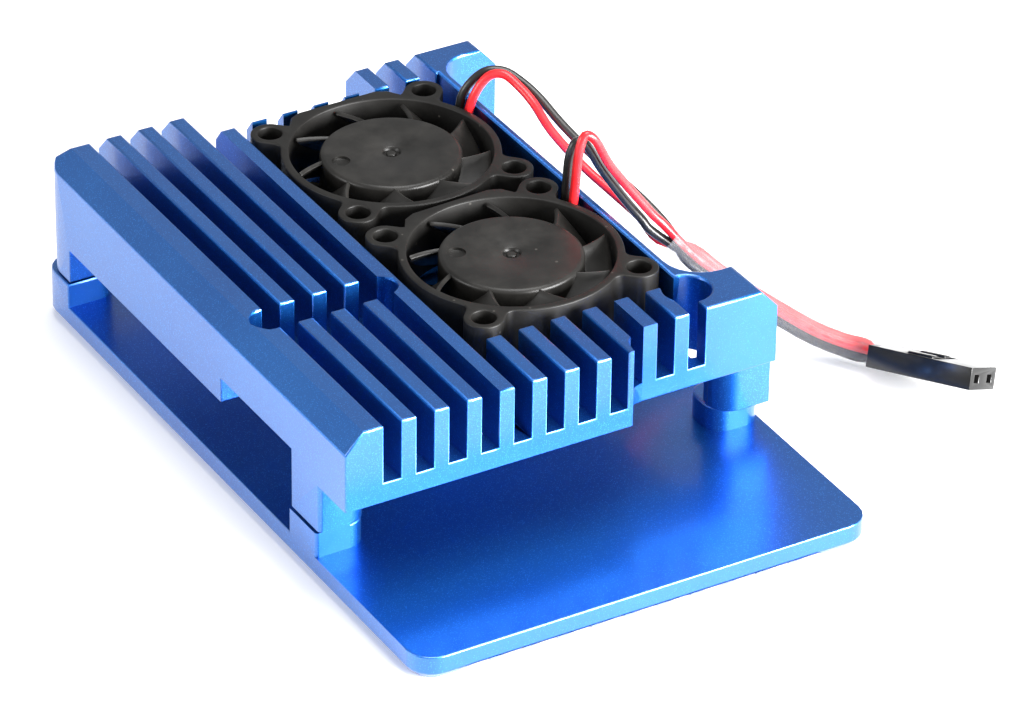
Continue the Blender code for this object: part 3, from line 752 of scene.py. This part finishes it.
def wheel_tree() -> RepeatTree:
    """Copies a mesh evenly round the upright axis.

    Returns:
        The tree, with inputs Count and Phase (radians).
    """
    maker = RepeatTree("blade_wheel", {"Count": ("NodeSocketInt", 9), "Phase": ("NodeSocketFloat", 0.0)})
    wiring = maker.wiring
    points = wiring.node("GeometryNodePoints")
    wiring.link(maker.source.outputs["Count"], points.inputs["Count"])
    step = wiring.node("ShaderNodeMath", operation="DIVIDE")
    step.inputs[0].default_value = 2 * pi
    wiring.link(maker.source.outputs["Count"], step.inputs[1])
    angle = wiring.node("ShaderNodeMath", operation="MULTIPLY_ADD")
    wiring.link(wiring.node("GeometryNodeInputIndex").outputs["Index"], angle.inputs[0])
    wiring.link(step.outputs[0], angle.inputs[1])
    wiring.link(maker.source.outputs["Phase"], angle.inputs[2])
    spin = wiring.node("ShaderNodeCombineXYZ")
    wiring.link(angle.outputs[0], spin.inputs["Z"])
    maker.scatter(points.outputs["Points"], spin.outputs["Vector"])
    return maker


def corner_tree() -> RepeatTree:
    """Copies a mesh onto the four corners of a rectangle.

    Returns:
        The tree, with inputs Length, Width and Centre X.
    """
    sizes = {
        "Length": ("NodeSocketFloat", 0.058), "Width": ("NodeSocketFloat", 0.049),
        "Centre X": ("NodeSocketFloat", 0.0),
    }
    maker = RepeatTree("screw_corners", sizes)
    wiring = maker.wiring
    grid = wiring.node("GeometryNodeMeshGrid")
    grid.inputs["Vertices X"].default_value = 2
    grid.inputs["Vertices Y"].default_value = 2
    wiring.link(maker.source.outputs["Length"], grid.inputs["Size X"])
    wiring.link(maker.source.outputs["Width"], grid.inputs["Size Y"])
    shift = wiring.node("ShaderNodeCombineXYZ")
    wiring.link(maker.source.outputs["Centre X"], shift.inputs["X"])
    move = wiring.node("GeometryNodeTransform")
    wiring.link(grid.outputs["Mesh"], move.inputs["Geometry"])
    wiring.link(shift.outputs["Vector"], move.inputs["Translation"])
    maker.scatter(move.outputs["Geometry"])
    return maker


# Sub-assemblies.


@dataclass
class Metalwork:
    """The base plate and the finned shell; their bevelled edges wear a lighter finish that is a painted
    highlight.
    """

    fine_edge: float = 0.14 * MM
    top_edge: float = 0.26 * MM
    top_band: float = 0.2 * MM
    sharp: float = 34
    acute: float = 100
    shortest: float = 0.3 * MM
    curved: tuple[float, float] = (0.5, 28)
    weld: float = 0.004 * MM
    slot_floor: float = 14.75 * MM
    step: float = 0.03 * MM

    def build(self, nodes: dict[str, bpy.types.Object], paints: Paints) -> None:
        """Builds both pieces.

        Args:
            nodes: The frame's nodes.
            paints: The finishes.
        """
        for node in ("base_plate", "heatsink_shell"):
            piece = self.edged(nodes[node], f"{node}_body")
            # The bevels take the lighter finish, a painted edge highlight.
            paints.dress(piece, ANODISED, EDGE_HIGHLIGHT)
            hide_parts(node)
            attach(piece, Body.CASE.value)
            LOG.info("built %s with %d faces", piece.name, len(piece.data.polygons))

    def edged(self, node: bpy.types.Object, name: str) -> bpy.types.Object:
        """Copies a node's mesh, joins its flat faces and bevels its sharp edges.

        Args:
            node: The frame node.
            name: The new piece's name.

        Returns:
            The plain piece; its second material slot, the painted edge highlight, is on the bevels.
        """
        shape = bmesh.new()
        shape.from_mesh(node.data)
        for corner in shape.verts:
            if abs(corner.co.z - self.slot_floor) < self.step:
                corner.co.z = self.slot_floor
        bmesh.ops.remove_doubles(shape, verts=shape.verts, dist=self.weld)
        bmesh.ops.dissolve_limit(shape, angle_limit=radians(1.5), verts=shape.verts, edges=shape.edges)
        top = max(corner.co.z for corner in shape.verts)
        layer = shape.edges.layers.float.new("bevel_weight_edge")
        for edge in shape.edges:
            reach = min(near.calc_length() for corner in edge.verts for near in corner.link_edges)
            cornered = radians(self.sharp) < edge.calc_face_angle(0) < radians(self.acute)
            if cornered and edge.is_convex and reach > self.shortest:
                high = min(corner.co.z for corner in edge.verts) > top - self.top_band
                edge[layer] = 1.0 if high else self.fine_edge / self.top_edge
        piece = from_shape(name, shape)
        for _ in range(2):
            piece.data.materials.append(None)
        bevel = piece.modifiers.new("edges", "BEVEL")
        bevel.limit_method = "WEIGHT"
        bevel.width = self.top_edge
        bevel.segments = 2
        bevel.use_clamp_overlap = False
        # The bevels' faces take the second slot, the painted edge highlight.
        bevel.material = 1
        split = piece.modifiers.new("split", "TRIANGULATE")
        split.ngon_method = "BEAUTY"
        split.min_vertices = 5
        piece = baked(piece)
        smooth(piece, self.curved[1])
        self.flatten(piece.data)
        return piece

    def flatten(self, mesh: bpy.types.Mesh) -> None:
        """Shades the flat faces flat, and leaves the bevels and the curved walls smooth.

        Args:
            mesh: The bevelled mesh, with its bevels in the second material slot.
        """
        beside: dict[tuple[int, int], list[bpy.types.MeshPolygon]] = {}
        for face in mesh.polygons:
            for key in face.edge_keys:
                beside.setdefault(key, []).append(face)
        low, high = (radians(angle) for angle in self.curved)
        bent = {face.index for face in mesh.polygons if face.material_index}
        for edge in mesh.edges:
            pair = beside[tuple(sorted(edge.vertices))]
            if len({face.material_index for face in pair}) > 1:
                edge.use_edge_sharp = True
            elif low < pair[0].normal.angle(pair[-1].normal, 0) < high:
                bent.update(face.index for face in pair)
        for face in mesh.polygons:
            face.use_smooth = face.index in bent


@dataclass
class CaseScrews:
    """Four socket-head screws, seen from underneath."""

    length: float = 58 * MM
    width: float = 49 * MM
    head: float = 2.2 * MM
    head_height: float = 1.2 * MM
    shank: float = 1.25 * MM
    pitch: float = 0.45 * MM
    key: float = 0.8 * MM
    key_depth: float = 0.7 * MM

    def build(self, nodes: dict[str, bpy.types.Object], paints: Paints) -> None:
        """Builds the screws as one piece that stands for all four nodes.

        Args:
            nodes: The frame's nodes; not used.
            paints: The finishes.
        """
        names = [f"case_screw_{x}_{y}" for x in ("rear", "front") for y in ("left", "right")]
        rear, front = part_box(names[0]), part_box(names[2])
        low, high = rear
        middle = (rear[0].x + rear[1].x + front[0].x + front[1].x) / 4
        screw = self.one(low.z, high.z)
        tree = corner_tree()
        sizes = {"Length": self.length, "Width": self.width, "Centre X": middle}
        screws = tree.run(screw, {**sizes, "Finish": paints.get(STEEL)})
        smooth(screws, 40)
        paints.dress(screws, STEEL)
        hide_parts(*names)
        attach(screws, Body.CASE.value)
        LOG.info("built four case screws")

    def one(self, bottom: float, top: float) -> bpy.types.Object:
        """One screw on the origin's axis, with a hexagon socket and rolled threads.

        Args:
            bottom: The height of its head's face.
            top: The height of its tip.

        Returns:
            The screw.
        """
        under = bottom + self.head_height
        edge = 0.2 * MM
        profile = [(0, top), (self.shank - 0.3 * MM, top)]
        height = top - 0.3 * MM
        while height > under + self.pitch:
            profile += [(self.shank, height), (self.shank - 0.22 * MM, height - self.pitch / 2)]
            height -= self.pitch
        profile += [(self.shank, under), (self.head, under), (self.head, bottom + edge),
                    (self.head - edge, bottom), (0, bottom)]
        screw = lathe("case_screws", profile, 32)
        shape = bmesh.new()
        bmesh.ops.create_cone(shape, cap_ends=True, segments=6, radius1=self.key, radius2=self.key,
                              depth=2 * self.key_depth, matrix=Matrix.Translation((0, 0, bottom)))
        return combined(screw, "DIFFERENCE", [from_shape("key", shape)])


@dataclass
class CoolingFan:
    """One 25 mm fan: its frame, its bladed hub and its motor's parts."""

    side: str
    twist: float
    phase: float
    dimple_angle: float
    body: Body
    size: float = 25 * MM
    height: float = 7 * MM
    ring: float = 12.4 * MM
    bore: float = 11.5 * MM
    ear_spacing: float = 20 * MM
    ear: float = 2.2 * MM
    ear_hole: float = 1.4 * MM
    fillet: float = 1.0 * MM
    flat_half: float = 4.9 * MM
    edge: float = 0.16 * MM
    hub: float = 8.05 * MM
    hub_bottom: float = 2.1 * MM
    hub_top: float = 6.8 * MM
    hub_round: float = 0.55 * MM
    blade_count: int = 9
    blade_tip: float = 11.1 * MM
    blade_low: float = 2.3 * MM
    blade_high: float = 6.5 * MM
    blade_chord: float = 34
    blade_sweep: float = 11
    blade_thick: float = 0.5 * MM
    flat_corner: float = 1.35 * MM
    flat_bend: float = 0.6 * MM
    hub_wall: float = 0.75 * MM
    hub_cap: float = 0.8 * MM
    dimple_out: float = 6 * MM
    dimple: Flat = (1.05 * MM, 0.38 * MM)
    seat: Flat = (7.6 * MM, 0.9 * MM)
    tube: Flat = (1.8 * MM, 2.4 * MM)
    tube_top: float = 5 * MM
    strut_half: float = MM
    strut_span: Flat = (0.1 * MM, 0.8 * MM)

    def build(self, frame: dict, paints: Paints, wheel: RepeatTree) -> None:
        """Builds the fan about its joint's axis.

        Args:
            frame: The loaded frame.
            paints: The finishes.
            wheel: The tree that repeats the blades.
        """
        joint = next(item for item in frame["joints"] if item["child"] == self.body.value)
        seat = Matrix.Translation(joint["pos_m"])
        twisted = seat @ Matrix.Rotation(radians(self.twist), 4, "Z")
        housing = placed(self.housing(), twisted)
        paints.dress(housing, MOULDED)
        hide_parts(f"{self.side}_fan_frame")
        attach(housing, Body.CASE.value)
        rotor = placed(self.rotor(paints, wheel), seat)
        paints.dress(rotor, HUB, MOULDED)
        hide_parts(f"{self.side}_fan_rotor")
        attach(rotor, self.body.value)
        self.dress_motor(frame["nodes"], paints)
        LOG.info("built the %s fan", self.side)

    def ear_outline(self, angle: float) -> list[Flat]:
        """The outline of one ear with its fillets to the ring.

        Args:
            angle: The direction of the ear from the fan's axis, in degrees.

        Returns:
            Points from the ring, round the ear and back to the ring, counter-clockwise.
        """
        out = self.ear_spacing / sqrt(2)
        across = self.ear + self.fillet
        along = sqrt((self.ring + self.fillet) ** 2 - across ** 2)
        lean = degrees(atan2(across, along))
        first = arc((along, -across), self.fillet, 180 - lean, 90, 5)
        last = arc((along, across), self.fillet, 270, 180 + lean, 5)
        return turn(first + arc((out, 0), self.ear, -90, 90, 20) + last, angle)

    def outline(self) -> list[Flat]:
        """The frame from above: a ring with four ears and a flat on the rear side.

        Returns:
            The outline, counter-clockwise.
        """
        across = self.ear + self.fillet
        lean = degrees(atan2(across, sqrt((self.ring + self.fillet) ** 2 - across ** 2)))
        points = []
        for angle in (-45, 45):
            points += self.ear_outline(angle)
            points += arc((0, 0), self.ring, angle + lean, angle + 90 - lean, 26)[1:-1]
        half = self.size / 2
        points += self.ear_outline(135)[:-3]
        bent = (self.flat_bend - half, self.flat_half + self.flat_corner)
        points += [bent, (-half, self.flat_half), (-half, -self.flat_half), (bent[0], -bent[1])]
        points += self.ear_outline(225)[3:]
        points += arc((0, 0), self.ring, 225 + lean, 315 - lean, 26)[1:-1]
        return points

    def housing(self) -> bpy.types.Object:
        """The moulded frame, with its seat, struts and bearing tube.

        Returns:
            The frame about the origin's axis.
        """
        half = self.ear_spacing / 2
        holes = [circle((x, y), self.ear_hole, 28)[::-1] for x in (-half, half) for y in (-half, half)]
        loops = [self.outline(), circle((0, 0), self.bore, 96)[::-1], *holes]
        shell = plate("fan_shell", loops, 0, self.height, self.edge)
        (seat_out, seat_high), (tube_in, tube_out) = self.seat, self.tube
        profile = [(tube_out, self.tube_top), (tube_out, seat_high), (seat_out, seat_high), (seat_out, 0),
                   (tube_in, 0), (tube_in, self.tube_top)]
        seat = lathe("seat", profile, 64)
        low, high = self.strut_span
        struts = []
        for angle in (45, 135, 225, 315):
            strut = block("strut", (seat_out - 0.6 * MM, -self.strut_half, low),
                          (self.bore + 0.4 * MM, self.strut_half, high))
            struts.append(placed(strut, Matrix.Rotation(radians(angle), 4, "Z")))
        housing = joined(f"{self.side}_fan_housing", [shell, seat, *struts])
        smooth(housing)
        return housing

    def blade(self) -> bpy.types.Object:
        """One curved blade, thickened, its root inside the hub.

        Returns:
            The blade about the origin's axis.
        """
        rows, columns = 7, 12
        root = self.hub - 0.3 * MM
        shape = bmesh.new()
        grid = []
        for row in range(rows + 1):
            out = row / rows
            radius = root + (self.blade_tip - root) * out
            line = []
            for column in range(columns + 1):
                back = column / columns
                angle = radians(self.blade_sweep * (out - 1) - self.blade_chord * back * (1 - 0.12 * out))
                height = self.blade_high - (self.blade_high - self.blade_low) * back ** 0.85
                line.append(shape.verts.new((radius * cos(angle), radius * sin(angle), height)))
            grid.append(line)
        for lower, upper in zip(grid, grid[1:]):
            for index in range(columns):
                shape.faces.new((lower[index], lower[index + 1], upper[index + 1], upper[index]))
        blade = from_shape(f"{self.side}_blades", shape)
        solid = blade.modifiers.new("thick", "SOLIDIFY")
        solid.thickness = self.blade_thick
        solid.offset = 0
        return eased(baked(blade), 0.1 * MM, 2, 60)

    def rotor(self, paints: Paints, wheel: RepeatTree) -> bpy.types.Object:
        """The hub cup with its dimples, and the blades round it.

        Args:
            paints: The finishes.
            wheel: The tree that repeats the blades.

        Returns:
            The rotor about the origin's axis.
        """
        values = {"Count": self.blade_count, "Phase": radians(self.phase), "Finish": paints.get(MOULDED)}
        blades = wheel.run(self.blade(), values)
        top, bottom, inner = self.hub_top, self.hub_bottom, self.hub - self.hub_wall
        profile = [(0, top - 0.12 * MM), (0.35 * MM, top - 0.12 * MM), (0.5 * MM, top - 0.18 * MM),
                   (0.62 * MM, top - 0.4 * MM), (0.95 * MM, top - 0.4 * MM), (1.08 * MM, top - 0.08 * MM),
                   (1.2 * MM, top)]
        profile += arc((self.hub - self.hub_round, top - self.hub_round), self.hub_round, 90, 0, 8)
        profile += [(self.hub, bottom), (inner, bottom), (inner, top - self.hub_cap),
                    (0, top - self.hub_cap)]
        hub = lathe("hub", profile, 96)
        angle = radians(self.dimple_angle)
        radius, depth = self.dimple
        dimple = lathe("dimple", [(0, MM), (radius, MM), (radius, 0.08 * MM - depth),
                                  (radius - 0.15 * MM, -depth), (0, -depth)], 32)
        spot = (self.dimple_out * cos(angle), self.dimple_out * sin(angle), top)
        placed(dimple, Matrix.Translation(spot))
        hub = combined(hub, "DIFFERENCE", [dimple])
        first = len(hub.data.polygons)
        rotor = joined(f"{self.side}_fan_wheel", [hub, blades])
        for face in rotor.data.polygons[first:]:
            face.material_index = 1
        for face in rotor.data.polygons[:first]:
            face.material_index = 0
        smooth(rotor, 38)
        return rotor

    def dress_motor(self, nodes: dict[str, bpy.types.Object], paints: Paints) -> None:
        """Finishes the motor's parts, which keep the frame's shapes.

        Args:
            nodes: The frame's nodes.
            paints: The finishes.
        """
        finishes = {
            "magnet_ring": FERRITE, "shaft": STEEL, "bearing_sleeve": BRONZE, "motor_board": LAMINATE,
            "stator_core": LAMINATIONS, "fan_tape": TAPE,
            **{f"stator_coil_{index}": COPPER for index in (1, 2, 3, 4)},
        }
        for part, finish in finishes.items():
            paints.redress(nodes[f"{self.side}_{part}"], finish)


@dataclass
class Route:
    """A smooth curve through points chosen along a lead, given in millimetres."""

    points: tuple[Point, ...]

    def along(self, per_span: int) -> list[Vector]:
        """Points on a Catmull-Rom curve.

        Args:
            per_span: How many points each span between route points has.

        Returns:
            The curve's points in metres.
        """
        route = [Vector(point) * MM for point in self.points]
        ends = [2 * route[0] - route[1], *route, 2 * route[-1] - route[-2]]
        path = []
        for before, here, there, after in zip(ends, ends[1:], ends[2:], ends[3:]):
            for step in range(per_span):
                t = step / per_span
                bend = 2 * before - 5 * here + 4 * there - after
                twist = 3 * here - before - 3 * there + after
                path.append(0.5 * (2 * here + (there - before) * t + bend * t * t + twist * t ** 3))
        return [*path, route[-1]]


SLEEVE_ROUTE = Route((
    (-2.0, 29.8, 14.0), (-0.7, 31.6, 12.2), (1.2, 34.0, 9.9), (3.6, 36.8, 7.6), (6.2, 39.9, 5.3),
    (8.6, 42.6, 3.5), (11.0, 45.0, 2.55), (13.3, 46.6, 2.45), (14.3, 47.3, 2.3),
))


@dataclass
class Lead:
    """One insulated wire, from its fan to the plug; inside the sleeve it keeps to its own quarter."""

    name: str
    finish: Finish
    points: tuple[Point, ...]
    quarter: tuple[int, int]
    radius: float = 0.53 * MM
    spread: float = 0.575 * MM

    def path(self, entry: Vector) -> list[Vector]:
        """The wire's whole centreline, in metres.

        Args:
            entry: Where it enters the plug.

        Returns:
            Points along it, from the fan to the plug.
        """
        free = Route(self.points).along(6)
        inside = SLEEVE_ROUTE.along(3)
        held = []
        for index, spot in enumerate(inside[1:], 1):
            ahead = inside[min(index + 1, len(inside) - 1)]
            along = (ahead - inside[index - 1]).normalized()
            side = along.cross(Vector((0, 0, 1))).normalized()
            up = side.cross(along)
            held.append(spot + self.spread * (self.quarter[0] * up + self.quarter[1] * side))
        knots = [tuple(spot / MM) for spot in (*free[::6], *held[2:-3:3], entry)]
        return Route(tuple(knots)).along(4)

    def build(self, paints: Paints, entry: Vector, with_pieces: list[bpy.types.Object]) -> None:
        """Args:
            paints: The finishes.
            entry: Where it enters the plug.
            with_pieces: The sleeve and the plug's pieces; not used.
        """
        path = self.path(entry)
        wire = drawn(f"{self.name}_lead", [path], closed=False)
        wire.data.bevel_depth = self.radius
        wire.data.bevel_resolution = 4
        wire.data.use_fill_caps = True
        paints.dress(wire, self.finish)
        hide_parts(self.name)
        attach(wire, Body.CASE.value)


LEADS = (
    Lead("rear_red_wire", RED_WIRE, (
        (-27.2, 17.9, 16.0), (-27.2, 17.9, 19.5), (-26.9, 18.7, 23.0), (-26.5, 20.3, 25.3),
        (-25.3, 21.7, 25.8), (-23.4, 22.6, 24.9), (-21.0, 23.1, 23.8), (-18.4, 24.0, 21.2),
        (-14.8, 26.0, 18.0), (-11.0, 27.4, 16.3), (-6.7, 28.6, 14.8), (-3.4, 29.2, 13.3),
    ), (1, -1)),
    Lead("rear_black_wire", BLACK_WIRE, (
        (-28.6, 17.9, 16.0), (-28.6, 17.7, 19.5), (-28.4, 18.3, 23.0), (-27.8, 20.4, 25.2),
        (-26.7, 22.4, 25.4), (-24.7, 23.6, 24.7), (-22.1, 24.5, 23.6), (-18.8, 25.5, 21.6),
        (-14.8, 27.2, 19.1), (-10.7, 28.6, 17.5), (-6.5, 29.8, 15.9), (-2.9, 30.5, 14.3),
    ), (-1, 1)),
    Lead("front_red_wire", RED_WIRE, (
        (-3.5, 17.9, 16.0), (-3.6, 17.9, 19.5), (-3.2, 18.0, 23.9), (-3.1, 18.3, 27.7),
        (-3.2, 19.1, 29.7), (-2.9, 20.3, 28.9), (-3.2, 22.2, 25.4), (-3.3, 24.3, 22.3),
        (-3.0, 26.6, 19.1), (-2.7, 28.0, 17.2), (-2.2, 29.1, 15.9),
    ), (1, 1)),
    Lead("front_black_wire", BLACK_WIRE, (
        (-4.9, 17.95, 16.0), (-5.1, 17.9, 19.5), (-4.9, 17.9, 23.2), (-4.8, 18.1, 26.4),
        (-4.7, 18.9, 28.2), (-4.4, 20.1, 27.6), (-4.6, 21.9, 24.4), (-4.7, 23.8, 21.4),
        (-4.5, 26.0, 18.1), (-4.0, 27.3, 16.2), (-3.3, 28.2, 14.8),
    ), (-1, -1)),
)


@dataclass
class Plug:
    """The two-way crimp housing and the clear sleeve that leads into it."""

    corner: Point = (15.6, 45.0, 2.1)
    along: Point = (12.8, 5.3, 2.3)
    across: Point = (-1.5, 4.5, -2.1)
    length: float = 14 * MM
    height: float = 2.54 * MM
    pitch: float = 2.54 * MM
    mouth: float = 0.45 * MM
    window: Flat = (4.6 * MM, 8.9 * MM)
    window_half: float = 0.8 * MM
    window_depth: float = 0.5 * MM
    latch_half: float = 0.55 * MM
    latch_rise: float = 0.22 * MM
    edge: float = 0.1 * MM
    sleeve_radius: float = 1.43 * MM
    sleeve_wall: float = 0.08 * MM
    ripple: float = 0.02

    def place(self) -> Matrix:
        """The housing's own axes: along its length, across its ways, and up.

        Returns:
            The matrix from those axes to the world's.
        """
        along = Vector(self.along).normalized()
        across = Vector(self.across)
        across = (across - along * across.dot(along)).normalized()
        axes = Matrix((along, across, along.cross(across))).transposed().to_4x4()
        return Matrix.Translation(Vector(self.corner) * MM) @ axes

    def entry(self, quarter: tuple[int, int]) -> Vector:
        """Where a lead enters the housing: the upper pair in the near way, the lower pair in the far one.

        Args:
            quarter: The lead's quarter of the sleeve.

        Returns:
            The point, in metres.
        """
        way = 1 - quarter[0] / 2
        return self.place() @ Vector((0.3 * MM, way * self.pitch, self.height / 2 + 0.5 * MM * quarter[1]))

    def housing(self) -> bpy.types.Object:
        """The moulded housing with its square mouths and the latch over each contact.

        Returns:
            The housing in its place.
        """
        body = block("plug_shell", (0, 0, 0), (self.length, 2 * self.pitch, self.height))
        cuts = []
        ridges = []
        for way in (0.5, 1.5):
            y = way * self.pitch
            middle = self.height / 2
            cuts.append(block("mouth", (self.length - 2.5 * MM, y - self.mouth, middle - self.mouth),
                              (self.length + MM, y + self.mouth, middle + self.mouth)))
            start, end = self.window
            cuts.append(block("window", (start, y - self.window_half, self.height - self.window_depth),
                              (end, y + self.window_half, self.height + MM)))
            ridges.append(block("latch", (start + 0.25 * MM, y - self.latch_half, self.height - 0.7 * MM),
                                (end - 0.7 * MM, y + self.latch_half, self.height + self.latch_rise)))
        body = eased(combined(body, "DIFFERENCE", cuts), self.edge, 2, 40)
        latches = [eased(ridge, 0.12 * MM, 2, 40) for ridge in ridges]
        housing = joined("plug_housing_body", [body, *latches])
        smooth(housing, 40)
        return placed(housing, self.place())

    def sleeve(self) -> bpy.types.Object:
        """The clear heat-shrink tube round the four wires.

        Returns:
            The tube in its place.
        """
        tube = drawn("shrink_tube", [SLEEVE_ROUTE.along(6)], closed=False)
        tube.data.bevel_depth = self.sleeve_radius
        tube.data.bevel_resolution = 6
        for index, spot in enumerate(tube.data.splines[0].points):
            spot.radius = 1 + self.ripple * sin(1.9 * index)
        tube = baked(tube)
        mend(tube.data)
        wall = tube.modifiers.new("wall", "SOLIDIFY")
        wall.thickness = self.sleeve_wall
        wall.offset = -1
        tube = baked(tube)
        smooth(tube, 50)
        return tube

    def build(self, nodes: dict[str, bpy.types.Object], paints: Paints) -> list[bpy.types.Object]:
        """Builds the plug and the sleeve.

        Args:
            nodes: The frame's nodes.
            paints: The finishes.

        Returns:
            The housing, the sleeve and the contacts, which are handed to the leads.
        """
        housing = self.housing()
        paints.dress(housing, PLUG_BLACK)
        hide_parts("plug_housing")
        sleeve = self.sleeve()
        paints.dress(sleeve, SHRINK)
        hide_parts("shrink_sleeve")
        for piece in (housing, sleeve):
            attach(piece, Body.CASE.value)
        contacts = [nodes["plug_contact_near"], nodes["plug_contact_far"]]
        for contact in contacts:
            paints.redress(contact, TIN)
        LOG.info("built the plug and the sleeve")
        return [housing, sleeve, *contacts]


# Setting.


@dataclass(frozen=True)
class Viewpoint:
    """Where the camera stands: angles in degrees about a point on the case."""

    azimuth: float = 59.312
    elevation: float = 32.05
    roll: float = 0.853
    distance: float = 0.700318
    target: Point = (0.000704, 0.00789, 0.00575)
    lens: float = 222.24

    def build(self) -> bpy.types.Object:
        """Makes the camera and makes it the scene's.

        Returns:
            The camera.
        """
        a, e, r = (radians(angle) for angle in (self.azimuth, self.elevation, self.roll))
        back = Vector((sin(a) * cos(e), -cos(a) * cos(e), sin(e)))
        right = Vector((cos(a), sin(a), 0))
        up = back.cross(right)
        rows = (right * cos(r) + up * sin(r), up * cos(r) - right * sin(r), back)
        axes = Matrix(rows).transposed().to_4x4()
        data = bpy.data.cameras.new("view")
        data.lens = self.lens
        data.sensor_width = 36
        data.clip_start = 0.01
        data.clip_end = 20
        camera = bpy.data.objects.new("view", data)
        camera.matrix_world = Matrix.Translation(Vector(self.target) + back * self.distance) @ axes
        bpy.context.scene.collection.objects.link(camera)
        bpy.context.scene.camera = camera
        return camera


@dataclass(frozen=True)
class Softbox:
    """One rectangular area light that faces the case."""

    name: str
    place: Point
    size: Flat
    power: float
    colour: Colour = (1.0, 1.0, 1.0)

    def build(self) -> None:
        """Makes the light."""
        data = bpy.data.lights.new(self.name, "AREA")
        data.shape = "RECTANGLE"
        data.size, data.size_y = self.size
        data.energy = self.power
        data.color = self.colour
        light = bpy.data.objects.new(self.name, data)
        light.location = self.place
        light.rotation_euler = (Vector(self.place) * -1).to_track_quat("-Z", "Y").to_euler()
        bpy.context.scene.collection.objects.link(light)


@dataclass
class Studio:
    """A pale floor, an even surround and soft lights."""

    floor_size: float = 6.0
    floor_tone: float = 0.92
    floor_glow: float = 0.2
    surround: float = 0.46
    boxes: tuple[Softbox, ...] = field(default_factory=lambda: (
        Softbox("key", (0.55, 0.30, 0.15), (0.48, 0.28), 21.0),
        Softbox("top", (0.05, 0.10, 0.9), (0.7, 0.5), 7.5),
        Softbox("left", (-0.15, -0.8, 0.3), (0.5, 0.3), 3.0),
    ))

    def build(self) -> None:
        """Makes the floor, the surround and the lights."""
        scene = bpy.context.scene
        scene.view_settings.view_transform = "Standard"
        world = bpy.data.worlds.new("surround")
        world.use_nodes = True
        background = world.node_tree.nodes["Background"]
        background.inputs["Color"].default_value = (1, 1, 1, 1)
        background.inputs["Strength"].default_value = self.surround
        scene.world = world
        half = self.floor_size / 2
        shape = bmesh.new()
        bmesh.ops.create_grid(shape, x_segments=1, y_segments=1, size=half)
        floor = from_shape("floor", shape)
        floor.location.z = -0.02 * MM
        paper = bpy.data.materials.new("floor_paper")
        paper.use_nodes = True
        shader = paper.node_tree.nodes["Principled BSDF"]
        shader.inputs["Base Color"].default_value = (*[self.floor_tone] * 3, 1)
        shader.inputs["Roughness"].default_value = 0.7
        shader.inputs["Emission Color"].default_value = (1, 1, 1, 1)
        shader.inputs["Emission Strength"].default_value = self.floor_glow
        floor.data.materials.append(paper)
        for softbox in self.boxes:
            softbox.build()


def main() -> None:
    """Builds the setting and each sub-assembly in order."""
    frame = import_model()
    Viewpoint().build()
    paints = Paints()
    plug = Plug()
    on_leads = plug.build(frame["nodes"], paints)
    for lead in LEADS:
        lead.build(paints, plug.entry(lead.quarter), on_leads)
    Metalwork().build(frame["nodes"], paints)
    CaseScrews().build(frame["nodes"], paints)
    wheel = wheel_tree()
    CoolingFan("rear", 0.6, 25, 261, Body.REAR).build(frame, paints, wheel)
    CoolingFan("front", 2.6, 4, 241, Body.FRONT).build(frame, paints, wheel)
    Studio().build()


if __name__ == "__main__":
    logging.basicConfig(level=logging.INFO, format="%(message)s")
    main()
